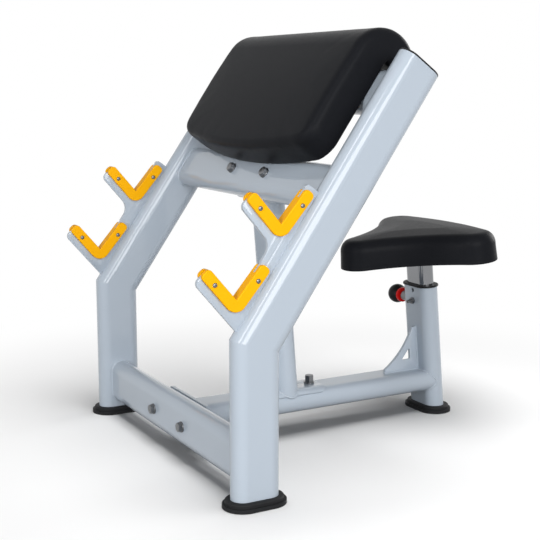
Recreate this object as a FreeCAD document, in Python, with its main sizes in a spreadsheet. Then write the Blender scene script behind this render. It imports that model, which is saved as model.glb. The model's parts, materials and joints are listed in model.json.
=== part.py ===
"""Preacher curl bench: flat-oval tube frame, two-step bar rack, rolled arm pad and height-set seat.

The frame: +X across the bench, -Y towards the bar rack, +Y towards the seat, +Z up.
The origin lies on the floor, in the middle of the bench's outer box. Lengths are millimetres.
"""
import FreeCAD, Part
import math
import os
import re
import Sketcher
from FreeCAD import Placement, Rotation, Vector

os.makedirs("parts", exist_ok=True)
doc = FreeCAD.newDocument("preacher_curl_bench")
sheet = doc.addObject("Spreadsheet::Sheet", "Sizes")

# Driving sizes

SIZES = [
    ("tube_long", 100, "flat-oval tube, long side"),
    ("tube_short", 50, "flat-oval tube, short side"),
    ("tube_wall", 3, "flat-oval tube, wall"),
    ("overrun", 5, "how far every cut runs past what it cuts"),
    ("seat_play", 0.2, "gap around pieces that are pushed together"),
    ("slide_play", 0.3, "gap around pieces that slide"),
    ("thread_play", 0.1, "gap between a thread and its nut"),
    ("origin_back", 323.25, "legs to the origin, along the floor"),
    ("leg_spacing", 715, "between the mid planes of the legs"),
    ("bend_height", 315, "where the leg axis bends"),
    ("leg_slant", 35, "lean of the upper legs, degrees"),
    ("leg_slant_length", 640, "upper leg axis, bend to top"),
    ("low_bar_height", 80, "lower crossbar and base beam above the floor"),
    ("mid_bar_drop", 294, "middle crossbar, down the slant from the leg's top"),
    ("top_bar_drop", 68, "upper crossbar, down the slant from the leg's top"),
    ("foot_height", 16.5, "rubber foot, full height"),
    ("foot_rim_height", 8, "rubber foot, height of its wide rim"),
    ("foot_rim", 16, "rubber foot, rim outside the tube"),
    ("foot_shoulder", 11, "rubber foot, shoulder outside the tube"),
    ("foot_round", 3.5, "rubber foot, rounding of the shoulder"),
    ("foot_sole", 6, "rubber under the end of the tube"),
    ("cap_thick", 4, "leg cap, plate"),
    ("cap_round", 1.5, "leg cap, rounding"),
    ("cap_plug", 22, "leg cap, depth of its plug"),
    ("cap_wall", 3, "leg cap, wall of its plug"),
    ("flange_wide", 202, "bolted flange plates, across the bench"),
    ("flange_tall", 84, "bolted flange plates, height"),
    ("flange_thick", 8, "bolted flange plates, thickness"),
    ("flange_corner", 14, "bolted flange plates, corners"),
    ("flange_bolts", 151, "spacing of the flange bolts"),
    ("beam_reach", 685, "legs to the foot of the seat post"),
    ("cope_trim", 12, "beam's coped end, short of the post axis"),
    ("strut_reach", 262.5, "legs to the foot of the centre post"),
    ("strut_lean", 4.6, "lean of the centre post, degrees"),
    ("shoe_long", 190, "centre post's saddle, length"),
    ("shoe_wrap", 50, "centre post's saddle, wrap round the beam's sides, degrees"),
    ("shoe_thick", 5, "centre post's saddle, thickness"),
    ("shoe_corner", 15, "centre post's saddle, corners"),
    ("shoe_bolts", 150, "spacing of the saddle's bolts"),
    ("shoe_head_tall", 16, "saddle's bolts, height of their tall heads"),
    ("post_lean", 5.5, "lean of the seat post, degrees"),
    ("post_height", 318, "seat post, along its axis"),
    ("gusset_long", 98, "gusset along the beam"),
    ("gusset_tall", 107, "gusset up the post"),
    ("gusset_thick", 8, "gusset thickness"),
    ("gusset_top", 10, "gusset width at its top"),
    ("gusset_toe", 9, "gusset height at its toe"),
    ("gusset_bow", 10, "hollow of the gusset's long edge"),
    ("window_gap", 24, "gusset window, from the post"),
    ("window_lift", 27, "gusset window, above the beam"),
    ("window_long", 27, "gusset window, length"),
    ("window_tall", 31, "gusset window, height"),
    ("window_round", 3, "gusset window, corners"),
    ("rack_thick", 8, "rack plate thickness"),
    ("rack_land", 30, "rack plate beside the leg"),
    ("rack_arm", 39, "rack plate arm, below the hook's bearing line"),
    ("rack_tip", 81, "rack plate arm, length from the hook's corner"),
    ("rack_tip_round", 12, "rack plate arm, tip rounding"),
    ("rack_hollow", 28, "rack plate, hollow between its arms"),
    ("rack_head", 9, "rack plate above the upper hook"),
    ("rack_head_round", 7, "rack plate, rounding of its top"),
    ("rack_root", 4, "rack plate, sunk into the leg's round before coping"),
    ("hook_out", 37.9, "hook corner, out from the leg"),
    ("hook_along", 68.1, "lower hook corner, up the slant from the bend's front"),
    ("hook_pitch", 165.6, "between the hooks, up the slant"),
    ("hook_angle", 49.3, "hook arms above level, degrees"),
    ("hook_arm", 85, "hook arm, length"),
    ("hook_deep", 23.5, "hook arm, depth"),
    ("hook_thick", 24, "hook, thickness across the plate"),
    ("hook_floor", 6, "hook, liner between bar and plate"),
    ("hook_tip_round", 9, "hook arm, end rounding"),
    ("slit_long", 22, "slit in the tip of the hook's leg-side arm"),
    ("tongue_sink", 1, "rack plate's tongue in that slit, below the bearing line"),
    ("hook_edge", 2, "hook, rounding of its outer edges"),
    ("screw_along", 53.5, "hook screw, along the arm"),
    ("screw_deep", 13.5, "hook screw, below the bearing line"),
    ("screw_shank", 5, "hook screw, shank diameter"),
    ("screw_head", 9.5, "hook screw, head diameter"),
    ("screw_head_tall", 3, "hook screw, head height"),
    ("screw_nut", 8, "hook screw nut, across flats"),
    ("screw_nut_tall", 4, "hook screw nut, height"),
    ("bolt_shank", 12, "frame bolt, shank diameter"),
    ("bolt_head", 19, "frame bolt, across flats"),
    ("bolt_head_tall", 8, "frame bolt, head height"),
    ("bolt_nut_tall", 10, "frame nut, height"),
    ("bolt_tail", 3, "frame bolt, thread past its nut"),
    ("washer_wide", 24, "frame washer, diameter"),
    ("washer_thick", 2.5, "frame washer, thickness"),
    ("pad_wide", 578, "arm pad, across the bench"),
    ("pad_tall", 256, "arm pad, middle of its roll to the middle of its lower edge"),
    ("pad_bulge", 31, "arm pad, how far the middle hangs below the ends"),
    ("pad_thick", 74, "arm pad, thickness"),
    ("pad_corner", 38, "arm pad, lower corners"),
    ("pad_edge", 20, "arm pad, rounding of its ends"),
    ("pad_lower_edge", 18, "arm pad, rounding of its lower front edge"),
    ("pad_crown", 3, "arm pad, swell of its front"),
    ("roll_radius", 78, "arm pad, roll over its top"),
    ("roll_drop", 19, "arm pad, middle of its roll below the leg's top"),
    ("roll_lip", 10, "arm pad, roll's underside above its middle"),
    ("roll_lip_round", 16, "arm pad, rounding of the roll's lip"),
    ("board_thick", 18, "arm pad board, thickness"),
    ("board_wide", 510, "arm pad board, width"),
    ("board_tall", 196, "arm pad board, height"),
    ("board_corner", 20, "arm pad board, corners"),
    ("board_drop", 100, "arm pad board, its middle down the slant from the leg's top"),
    ("pad_bolts", 300, "arm pad bolts, across the bench"),
    ("pad_bolt_rise", 30, "arm pad bolts, up the slant"),
    ("small_bolt", 8, "cushion bolt, shank diameter"),
    ("small_head", 13, "cushion bolt, across flats"),
    ("small_head_tall", 5.5, "cushion bolt, head height"),
    ("small_grip", 11, "cushion bolt, depth in its board"),
    ("insert_wide", 14, "threaded insert, diameter"),
    ("insert_deep", 12, "threaded insert, depth"),
    ("nose_reach", 167, "seat, post to the middle of its nose"),
    ("nose_radius", 50.5, "seat, radius of its nose"),
    ("lobe_out", 145, "seat, rear lobes out from the middle"),
    ("lobe_back", 47.5, "seat, rear lobes behind the post"),
    ("lobe_radius", 57.5, "seat, radius of its rear lobes"),
    ("flank_radius", 365.5, "seat, hollow of its flanks"),
    ("rear_bow", 14, "seat, swell of its rear edge"),
    ("seat_bare", 64, "sliding post in sight below the lowest seat"),
    ("seat_thick", 68, "seat, thickness at its edge roll"),
    ("seat_crown", 4, "seat, crown above its edge roll"),
    ("seat_roll", 28, "seat, width of its edge roll"),
    ("seat_board_thick", 15, "seat board, thickness"),
    ("seat_board_inset", 16, "seat board, inside the cushion"),
    ("saddle_long", 150, "steel plate under the seat, length"),
    ("saddle_wide", 130, "steel plate under the seat, width"),
    ("saddle_thick", 6, "steel plate under the seat, thickness"),
    ("saddle_corner", 16, "steel plate under the seat, corners"),
    ("saddle_bolts_long", 114, "seat bolts, lengthwise"),
    ("saddle_bolts_wide", 98, "seat bolts, across"),
    ("inner_wall", 2.5, "sliding post, wall"),
    ("inner_start", 34, "sliding post, lower end along the axis"),
    ("sleeve_rim", 3, "sleeve rim outside the post"),
    ("sleeve_rim_thick", 4, "sleeve rim, thickness"),
    ("sleeve_rim_round", 1.8, "sleeve rim, rounding"),
    ("sleeve_length", 92, "sleeve inside the post"),
    ("sleeve_end_wall", 7, "sleeve, wall at the rounds of the sliding post"),
    ("sleeve_side_wall", 2, "sleeve, wall at the flats of the sliding post"),
    ("pin_drop", 40, "height pin, below the top of the post"),
    ("pin_shank", 10, "height pin, nose diameter"),
    ("pin_travel", 5, "height pin, travel"),
    ("hole_pitch", 25, "between the height holes"),
    ("pin_collar", 15, "height pin, shoulder diameter"),
    ("pin_collar_thick", 2, "height pin, shoulder thickness"),
    ("pin_stem", 8, "height pin, stem diameter"),
    ("pin_stem_deep", 24, "height pin, stem inside the knob"),
    ("barrel_wide", 25, "pin barrel, diameter"),
    ("barrel_long", 21, "pin barrel, out from the post"),
    ("barrel_bore", 17, "pin barrel, spring chamber diameter"),
    ("barrel_front", 3, "pin barrel, wall at the post"),
    ("barrel_back", 4, "pin barrel, outer wall"),
    ("spring_wire", 0.9, "pin spring, wire"),
    ("spring_mean", 12.2, "pin spring, mean diameter"),
    ("spring_gap", 0.4, "pin spring, clear of its seats"),
    ("ring_wide", 36, "coloured ring, diameter"),
    ("ring_thick", 6, "coloured ring, thickness"),
    ("knob_wide", 47, "pull knob, diameter"),
    ("knob_set", 18, "pull knob, ring to the middle of its ball"),
    ("clamp_drop", 36, "clamp screw, below the top of the post"),
    ("spare_drop", 10, "spare hole, below the top of the post"),
    ("spare_wide", 10, "spare hole, diameter"),
    ("clamp_shank", 8, "clamp screw, diameter"),
    ("clamp_out", 10.5, "clamp screw, out from its nut"),
    ("clamp_socket", 4, "clamp screw, its socket across flats"),
    ("clamp_socket_deep", 5, "clamp screw, depth of its socket"),
    ("clamp_nut_wide", 14, "clamp screw nut, across flats"),
    ("clamp_nut_tall", 7, "clamp screw nut, height"),
]

# Sizes worked out from them

DERIVED = [
    ("tube_round", "tube_short / 2"),
    ("tube_half", "tube_long / 2"),
    ("bore_long", "tube_long - 2 * tube_wall"),
    ("bore_short", "tube_short - 2 * tube_wall"),
    ("inner_long", "bore_long - 2 * sleeve_end_wall"),
    ("inner_short", "bore_short - 2 * sleeve_side_wall"),
    ("mid_bar_along", "leg_slant_length - mid_bar_drop"),
    ("top_bar_along", "leg_slant_length - top_bar_drop"),
    ("board_along", "leg_slant_length - board_drop"),
    ("roll_along", "leg_slant_length - roll_drop"),
    ("pad_low", "roll_along - pad_tall"),
    ("pin_height", "post_height - pin_drop"),
    ("clamp_height", "post_height - clamp_drop"),
    ("spare_height", "post_height - spare_drop"),
    ("seat_height", "post_height + sleeve_rim_thick + seat_bare + saddle_thick"),
    ("leg_mid", "leg_spacing / 2"),
    ("leg_line", "-origin_back"),
    ("bar_length", "leg_spacing - tube_short"),
    ("bend_rise", "tube_half * tan(leg_slant / 2)"),
    ("cut_half", "tube_half + overrun"),
    ("mitre_rise", "cut_half * tan(leg_slant / 2)"),
    ("mitre_clear", "mitre_rise + overrun"),
    ("mitre_drop", "-mitre_rise"),
    ("mitre_under", "-mitre_clear"),
    ("cut_half_front", "-cut_half"),
    ("beam_top", "low_bar_height + tube_round"),
    ("shoe_top", "beam_top + shoe_thick"),
    ("tube_reach", "tube_half - tube_round"),
    ("shoe_round", "tube_round + shoe_thick"),
    ("shoe_lip_x", "tube_reach + shoe_round * sin(shoe_wrap)"),
    ("shoe_lip_z", "shoe_round * cos(shoe_wrap)"),
    ("shoe_bow_x", "tube_reach + shoe_round * sin(shoe_wrap / 2)"),
    ("shoe_bow_z", "shoe_round * cos(shoe_wrap / 2)"),
    ("shoe_seat_x", "tube_reach + tube_round * sin(shoe_wrap)"),
    ("shoe_seat_z", "tube_round * cos(shoe_wrap)"),
    ("shoe_seat_bow_x", "tube_reach + tube_round * sin(shoe_wrap / 2)"),
    ("shoe_seat_bow_z", "tube_round * cos(shoe_wrap / 2)"),
    ("strut_cut", "tube_round + overrun"),
    ("strut_cut_front", "-strut_cut"),
    ("strut_foot_rise", "strut_cut * tan(strut_lean)"),
    ("strut_foot", "shoe_round + strut_foot_rise"),
    ("strut_length", "(strut_reach * cos(leg_slant) + (bend_height - shoe_top) * sin(leg_slant)"
                     " - tube_round - flange_thick) / sin(leg_slant + strut_lean)"),
    ("strut_top_rise", "strut_cut / tan(leg_slant + strut_lean)"),
    ("strut_top_drop", "-strut_top_rise"),
    ("strut_top_clear", "strut_top_rise + overrun"),
    ("post_start", "foot_sole + overrun / 2"),
    ("post_front_low", "(-tube_round - beam_top * sin(post_lean)) / cos(post_lean)"),
    ("gusset_peak", "beam_top + gusset_tall"),
    ("post_front_high", "(-tube_round - gusset_peak * sin(post_lean)) / cos(post_lean)"),
    ("gusset_peak_front", "post_front_high - gusset_top"),
    ("gusset_toe_front", "post_front_low - gusset_long"),
    ("gusset_toe_top", "beam_top + gusset_toe"),
    ("gusset_run", "gusset_peak_front - gusset_toe_front"),
    ("gusset_climb", "gusset_peak - gusset_toe_top"),
    ("gusset_edge", "sqrt(gusset_run * gusset_run + gusset_climb * gusset_climb)"),
    ("gusset_mid_y", "(gusset_peak_front + gusset_toe_front) / 2 + gusset_bow * gusset_climb / gusset_edge"),
    ("gusset_mid_z", "(gusset_peak + gusset_toe_top) / 2 - gusset_bow * gusset_run / gusset_edge"),
    ("window_back", "post_front_low - window_gap"),
    ("window_front", "window_back - window_long"),
    ("window_floor", "beam_top + window_lift"),
    ("window_peak", "window_floor + window_tall"),
    ("window_peak_back", "window_back - window_tall * tan(post_lean)"),
    ("rise_angle", "hook_angle - leg_slant"),
    ("drop_angle", "90 - leg_slant - hook_angle"),
    ("vee_share", "1 / (1 - sin(rise_angle - drop_angle))"),
    ("lower_vee_out", "-hook_out + hook_floor * vee_share * (cos(drop_angle) - sin(rise_angle))"),
    ("lower_vee_up", "hook_along - hook_floor * vee_share * (cos(rise_angle) + sin(drop_angle))"),
    ("lower_heel_out", "-hook_out - rack_tip * cos(rise_angle) - rack_arm * sin(rise_angle)"),
    ("lower_heel_up", "hook_along + rack_tip * sin(rise_angle) - rack_arm * cos(rise_angle)"),
    ("lower_tip_out", "-hook_out - rack_tip * cos(rise_angle) - hook_floor * sin(rise_angle)"),
    ("lower_tip_up", "hook_along + rack_tip * sin(rise_angle) - hook_floor * cos(rise_angle)"),
    ("rack_seat", "hook_arm + seat_play"),
    ("slit_root", "hook_arm - slit_long"),
    ("tongue_root", "slit_root + seat_play"),
    ("lower_root_out", "-hook_out + tongue_root * sin(drop_angle) + hook_floor * cos(drop_angle)"),
    ("lower_root_up", "hook_along + tongue_root * cos(drop_angle) - hook_floor * sin(drop_angle)"),
    ("lower_tongue_out", "-hook_out + tongue_root * sin(drop_angle) + tongue_sink * cos(drop_angle)"),
    ("lower_tongue_up", "hook_along + tongue_root * cos(drop_angle) - tongue_sink * sin(drop_angle)"),
    ("lower_step_out", "-hook_out + rack_seat * sin(drop_angle) + tongue_sink * cos(drop_angle)"),
    ("lower_step_up", "hook_along + rack_seat * cos(drop_angle) - tongue_sink * sin(drop_angle)"),
    ("rack_face", "-rack_land"),
    ("rack_foot_up", "lower_heel_up - (rack_root - lower_heel_out) * tan(rise_angle)"),
    ("hollow_up", "lower_heel_up + hook_pitch - (rack_face - lower_heel_out) * tan(rise_angle)"),
    ("upper_vee_up", "lower_vee_up + hook_pitch"),
    ("upper_heel_up", "lower_heel_up + hook_pitch"),
    ("upper_tip_up", "lower_tip_up + hook_pitch"),
    ("upper_root_up", "lower_root_up + hook_pitch"),
    ("upper_tongue_up", "lower_tongue_up + hook_pitch"),
    ("upper_step_up", "lower_step_up + hook_pitch"),
    ("rack_peak", "upper_step_up + rack_head"),
    ("hook_tip_y", "hook_arm * cos(hook_angle)"),
    ("hook_tip_z", "hook_arm * sin(hook_angle)"),
    ("hook_back_y", "hook_tip_y + hook_deep * sin(hook_angle)"),
    ("hook_back_z", "hook_tip_z - hook_deep * cos(hook_angle)"),
    ("hook_turn_y", "hook_deep * sin(hook_angle)"),
    ("hook_turn_z", "-hook_deep * cos(hook_angle)"),
    ("hook_sole", "-hook_deep"),
    ("slot_reach", "hook_arm + overrun"),
    ("slot_vee_z", "-hook_floor / cos(hook_angle)"),
    ("slot_tip_y", "slot_reach * cos(hook_angle) + hook_floor * sin(hook_angle)"),
    ("slot_tip_z", "slot_reach * sin(hook_angle) - hook_floor * cos(hook_angle)"),
    ("slot_back_y", "slot_tip_y + hook_deep * sin(hook_angle)"),
    ("slot_back_z", "slot_tip_z - hook_deep * cos(hook_angle)"),
    ("slot_sole", "-(hook_deep + hook_floor) / cos(hook_angle)"),
    ("slit_deep", "hook_deep / 2"),
    ("slit_root_y", "slit_root * cos(hook_angle) - overrun * sin(hook_angle)"),
    ("slit_root_z", "slit_root * sin(hook_angle) + overrun * cos(hook_angle)"),
    ("slit_tip_y", "slot_reach * cos(hook_angle) - overrun * sin(hook_angle)"),
    ("slit_tip_z", "slot_reach * sin(hook_angle) + overrun * cos(hook_angle)"),
    ("slit_end_y", "slot_reach * cos(hook_angle) + slit_deep * sin(hook_angle)"),
    ("slit_end_z", "slot_reach * sin(hook_angle) - slit_deep * cos(hook_angle)"),
    ("slit_heel_y", "slit_root * cos(hook_angle) + slit_deep * sin(hook_angle)"),
    ("slit_heel_z", "slit_root * sin(hook_angle) - slit_deep * cos(hook_angle)"),
    ("screw_y", "screw_along * cos(hook_angle) + screw_deep * sin(hook_angle)"),
    ("screw_z", "screw_along * sin(hook_angle) - screw_deep * cos(hook_angle)"),
    ("crest_y", "leg_line - tube_half"),
    ("crest_z", "bend_height + bend_rise"),
    ("seat_post_y", "leg_line + beam_reach"),
    ("inner_top", "seat_height - saddle_thick"),
    ("barrel_face", "tube_half + barrel_long"),
    ("chamber_start", "tube_half + barrel_front"),
    ("chamber_end", "barrel_face - barrel_back"),
    ("nose_end", "inner_long / 2 + slide_play"),
    ("collar_face", "chamber_start + slide_play + pin_travel"),
    ("collar_back", "collar_face + pin_collar_thick"),
    ("ring_face", "barrel_face + slide_play + pin_travel"),
    ("knob_face", "ring_face + ring_thick"),
    ("stem_end", "knob_face + pin_stem_deep"),
    ("stem_radius", "pin_stem / 2"),
    ("nose_radius_pin", "pin_shank / 2"),
    ("nose_bevel", "nose_radius_pin / 4"),
    ("nose_flat", "nose_radius_pin - nose_bevel"),
    ("nose_shoulder", "nose_end + nose_bevel"),
    ("collar_radius", "pin_collar / 2"),
    ("barrel_radius", "barrel_wide / 2"),
    ("barrel_sink", "tube_half - overrun"),
    ("barrel_front_bore", "pin_shank / 2 + slide_play"),
    ("barrel_chamber", "barrel_bore / 2"),
    ("barrel_back_bore", "pin_stem / 2 + slide_play"),
    ("barrel_bevel", "barrel_radius / 8"),
    ("barrel_bevel_radius", "barrel_radius - barrel_bevel"),
    ("barrel_bevel_face", "barrel_face - barrel_bevel"),
    ("ring_radius", "ring_wide / 2"),
    ("ball_radius", "knob_wide / 2"),
    ("ball_middle", "knob_face + knob_set"),
    ("ball_end", "ball_middle + ball_radius"),
    ("neck_radius", "sqrt(ball_radius * ball_radius - knob_set * knob_set)"),
    ("ball_bow", "acos(-knob_set / ball_radius) / 2"),
    ("ball_bow_x", "ball_middle + ball_radius * cos(ball_bow)"),
    ("ball_bow_r", "ball_radius * sin(ball_bow)"),
]

row = 0
for alias, value, note in SIZES:
    row += 1
    sheet.set(f"A{row}", note)
    sheet.set(f"B{row}", str(value))
    sheet.setAlias(f"B{row}", alias)
for alias, formula in DERIVED:
    row += 1
    sheet.set(f"A{row}", alias.replace("_", " "))
    sheet.set(f"B{row}", "=" + formula)
    sheet.setAlias(f"B{row}", alias)
doc.recompute()

ALIASES = {entry[0] for entry in SIZES + DERIVED}
UPRIGHT = Rotation()
ALONG_X = Rotation(Vector(0, 1, 0), 90)
ALONG_Y = Rotation(Vector(1, 0, 0), -90)
TOP_BACK = Vector(-1, 0, 0)
TOP_FORWARD = Vector(1, 0, 0)
X_AXIS = Vector(1, 0, 0)
Y_AXIS = Vector(0, 1, 0)
Z_AXIS = Vector(0, 0, 1)
NODES = []


def size(name):
    """Value of a sheet cell; a leading minus turns its sign, and a bare zero is zero."""
    if name == "0":
        return 0.0
    if name.startswith("-"):
        return -float(sheet.get(name[1:]))
    return float(sheet.get(name))


def bind(thing, prop, formula):
    """Tie a property to a formula of sheet cells."""
    words = re.split(r"([a-z_]+)", formula)
    thing.setExpression(prop, "".join(f"Sizes.{word}" if word in ALIASES else word for word in words))


def place(thing, x="0", y="0", z="0", tilt=None, turn=None):
    """Put a piece in the bench, leaning by a sheet angle about a level axis, or turned by a fixed amount."""
    if tilt:
        angle, axis = tilt
        thing.Placement = Placement(Vector(), Rotation(axis, size("leg_slant")))
        bind(thing, "Placement.Rotation.Angle", angle)
    elif turn:
        thing.Placement = Placement(Vector(), turn)
    for axis_name, formula in zip("xyz", (x, y, z)):
        if formula != "0":
            bind(thing, f"Placement.Base.{axis_name}", formula)
    return thing


def on_slant(thing, along="0", x="0"):
    """Put a piece on the axis of the upper legs, a distance up from the bend."""
    y = f"leg_line + ({along}) * sin(leg_slant)"
    z = f"bend_height + ({along}) * cos(leg_slant)"
    return place(thing, x, y, z, tilt=("leg_slant", TOP_BACK))


def on_post(thing, along="0"):
    """Put a piece on the seat post's axis, a distance up it from the floor."""
    return place(thing, "0", f"seat_post_y - ({along}) * sin(post_lean)", f"({along}) * cos(post_lean)",
                 tilt=("post_lean", TOP_FORWARD))


def node(thing, label):
    """Name a finished piece and keep it for export."""
    thing.Label = label
    NODES.append(thing)
    return thing


def body(name):
    return doc.addObject("PartDesign::Body", name)


def sketch(owner, role, rise=None, lift=None):
    """Sketch on one of the body's own planes, raised off it or shifted up in it."""
    flat = owner.newObject("Sketcher::SketchObject", owner.Name + "_sketch")
    plane = next(item for item in owner.Origin.OriginFeatures if item.Role == role)
    flat.AttachmentSupport = (plane, [""])
    flat.MapMode = "FlatFace"
    if rise:
        bind(flat, "AttachmentOffset.Base.z", rise)
    if lift:
        bind(flat, "AttachmentOffset.Base.y", lift)
    return flat


def dimension(flat, kind, parts, value, formula):
    """Add one driven dimension to a sketch."""
    index = flat.addConstraint(Sketcher.Constraint(kind, *parts, value))
    if formula != "0":
        flat.renameConstraint(index, f"{kind.lower()}{index}")
        bind(flat, f"Constraints.{kind.lower()}{index}", formula)


def locate(flat, curve, end, x, y):
    """Fix one point of a sketch from its origin by two sheet cells."""
    dimension(flat, "DistanceX", (-1, 1, curve, end), size(x), x)
    dimension(flat, "DistanceY", (-1, 1, curve, end), size(y), y)


def obround(flat, long_side, short_side, upright=False, grow=None):
    """Flat oval about the sketch origin, grown on all sides by a cell when asked."""
    extra = size(grow) if grow else 0.0
    wider = f" + 2 * ({grow.replace('-', '0 - ')})" if grow else ""
    radius = size(short_side) / 2 + extra
    reach = (size(long_side) - size(short_side)) / 2
    along = Vector(0, 1, 0) if upright else Vector(1, 0, 0)
    across = Vector(-1, 0, 0) if upright else Vector(0, 1, 0)
    quarter = math.pi / 2
    first = math.atan2(along.y, along.x)
    far, near = along * reach, along * -reach
    side = across * radius
    base = flat.addGeometry(Part.LineSegment(near + side, far + side), False)
    circle = Part.Circle(far, Vector(0, 0, 1), radius)
    flat.addGeometry(Part.ArcOfCircle(circle, first - quarter, first + quarter), False)
    flat.addGeometry(Part.LineSegment(far - side, near - side), False)
    circle = Part.Circle(near, Vector(0, 0, 1), radius)
    flat.addGeometry(Part.ArcOfCircle(circle, first + quarter, first + 3 * quarter), False)
    top, right, low, left = base, base + 1, base + 2, base + 3
    for pair in ((top, 2, right, 2), (right, 1, low, 1), (low, 2, left, 2), (left, 1, top, 1)):
        flat.addConstraint(Sketcher.Constraint("Tangent", *pair))
    axis = -2 if upright else -1
    flat.addConstraint(Sketcher.Constraint("PointOnObject", right, 3, axis))
    flat.addConstraint(Sketcher.Constraint("Symmetric", right, 3, left, 3, -1, 1))
    dimension(flat, "Radius", (right,), radius, f"({short_side}{wider}) / 2")
    kind = "DistanceY" if upright else "DistanceX"
    dimension(flat, kind, (left, 3, right, 3), 2 * reach, f"{long_side} - {short_side}")


def polygon(flat, corners, bows=None):
    """Closed outline through corners given as pairs of cells; a bow makes a side an arc through a point."""
    bows = bows or {}
    spots = [Vector(size(x), size(y), 0) for x, y in corners]
    count = len(spots)
    first = None
    for index, spot in enumerate(spots):
        after = spots[(index + 1) % count]
        if index in bows:
            middle = Vector(size(bows[index][0]), size(bows[index][1]), 0)
            curve = Part.Arc(spot, middle, after)
        else:
            curve = Part.LineSegment(spot, after)
        number = flat.addGeometry(curve, False)
        first = number if first is None else first
    for index in range(count):
        ends = []
        for curve, spot in ((first + index, spots[(index + 1) % count]),
                            (first + (index + 1) % count, spots[(index + 1) % count])):
            start = flat.getPoint(curve, 1)
            ends += [curve, 1 if start.distanceToPoint(spot) < size("seat_play") else 2]
        flat.addConstraint(Sketcher.Constraint("Coincident", *ends))
        locate(flat, ends[0], ends[1], *corners[(index + 1) % count])
    for index, (x, y) in bows.items():
        mark = flat.addGeometry(Part.Point(Vector(size(x), size(y), 0)), True)
        flat.addConstraint(Sketcher.Constraint("PointOnObject", mark, 1, first + index))
        locate(flat, mark, 1, x, y)


def rectangle(flat, wide, tall):
    """Rectangle about the sketch origin."""
    half_x, half_y = size(wide) / 2, size(tall) / 2
    spots = [Vector(-half_x, -half_y, 0), Vector(half_x, -half_y, 0), Vector(half_x, half_y, 0),
             Vector(-half_x, half_y, 0)]
    for index in range(4):
        flat.addGeometry(Part.LineSegment(spots[index], spots[(index + 1) % 4]), False)
    for index in range(4):
        flat.addConstraint(Sketcher.Constraint("Coincident", index, 2, (index + 1) % 4, 1))
    for index, kind in enumerate(("Horizontal", "Vertical", "Horizontal", "Vertical")):
        flat.addConstraint(Sketcher.Constraint(kind, index))
    flat.addConstraint(Sketcher.Constraint("Symmetric", 0, 1, 1, 2, -1, 1))
    dimension(flat, "DistanceX", (0, 1, 0, 2), 2 * half_x, wide)
    dimension(flat, "DistanceY", (1, 1, 1, 2), 2 * half_y, tall)


def circle_at(flat, wide, play, x_formula, y_formula, x_value, y_value):
    """Round hole for a shank, with its play."""
    radius = size(wide) / 2 + size(play)
    number = flat.addGeometry(Part.Circle(Vector(x_value, y_value, 0), Vector(0, 0, 1), radius), False)
    dimension(flat, "Radius", (number,), radius, f"{wide} / 2 + {play}")
    dimension(flat, "DistanceX", (-1, 1, number, 3), x_value, x_formula)
    dimension(flat, "DistanceY", (-1, 1, number, 3), y_value, y_formula)


def hole_grid(flat, wide, spacing_x=None, spacing_y=None):
    """Holes for bolts in a row or a grid about the sketch origin."""
    columns = (-1, 1) if spacing_x else (0,)
    rows = (-1, 1) if spacing_y else (0,)
    for column in columns:
        for line in rows:
            x = column * size(spacing_x) / 2 if spacing_x else 0.0
            y = line * size(spacing_y) / 2 if spacing_y else 0.0
            x_text = f"{column} * {spacing_x} / 2" if spacing_x else "0"
            y_text = f"{line} * {spacing_y} / 2" if spacing_y else "0"
            circle_at(flat, wide, "slide_play", x_text, y_text, x, y)


def pad(owner, flat, length, both=False, turned=False):
    """Raise a sketch; both ways about its plane, or against its normal, when asked."""
    feature = owner.newObject("PartDesign::Pad", owner.Name + "_pad")
    feature.Profile = flat
    feature.SideType = "Symmetric" if both else "One side"
    feature.Reversed = turned
    bind(feature, "Length", length)
    doc.recompute()
    return feature


def pocket(owner, flat, length=None, turned=False, both=False):
    """Cut with a sketch: right through both ways, or to a depth below it."""
    before = owner.Shape.Volume
    feature = owner.newObject("PartDesign::Pocket", owner.Name + "_pocket")
    feature.Profile = flat
    feature.Reversed = turned
    if length:
        bind(feature, "Length", length)
        feature.SideType = "Symmetric" if both else "One side"
    else:
        feature.Type = "ThroughAll"
        feature.SideType = "Symmetric"
    doc.recompute()
    if owner.Shape.Volume >= before:
        raise ValueError(f"{feature.Name} cuts nothing")
    return feature


def fillet(owner, radius, chosen):
    """Round the edges of a body's last feature that a test picks."""
    base = owner.Tip
    names = [f"Edge{number + 1}" for number, edge in enumerate(base.Shape.Edges) if chosen(edge)]
    feature = owner.newObject("PartDesign::Fillet", owner.Name + "_fillet")
    feature.Base = (base, names)
    bind(feature, "Radius", radius)
    doc.recompute()
    return feature


def runs_along(axis, spots=None):
    """Test for straight edges along an axis, near any of the given points across it."""
    def chosen(edge):
        if edge.Curve.TypeId != "Part::GeomLine":
            return False
        if abs(abs(edge.Curve.Direction.dot(axis)) - 1) > 1e-6:
            return False
        if spots is None:
            return True
        middle = edge.CenterOfMass
        flat = middle - axis * middle.dot(axis)
        return any(flat.distanceToPoint(spot) < size("seat_play") for spot in spots)
    return chosen


def at_height(axis, value):
    """Test for edges that lie wholly in a plane across an axis."""
    def chosen(edge):
        ends = [vertex.Point.dot(axis) for vertex in edge.Vertexes] + [edge.CenterOfMass.dot(axis)]
        return all(abs(end - value) < size("thread_play") for end in ends)
    return chosen


def tube(name, role, length, upright, rise=None, both=False, turned=False, section=None):
    """Flat-oval tube raised from one of its body's planes."""
    long_side, short_side, wall = section or ("tube_long", "tube_short", "-tube_wall")
    owner = body(name)
    flat = sketch(owner, role, rise=rise)
    obround(flat, long_side, short_side, upright)
    obround(flat, long_side, short_side, upright, grow=wall)
    pad(owner, flat, length, both=both, turned=turned)
    return owner


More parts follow.
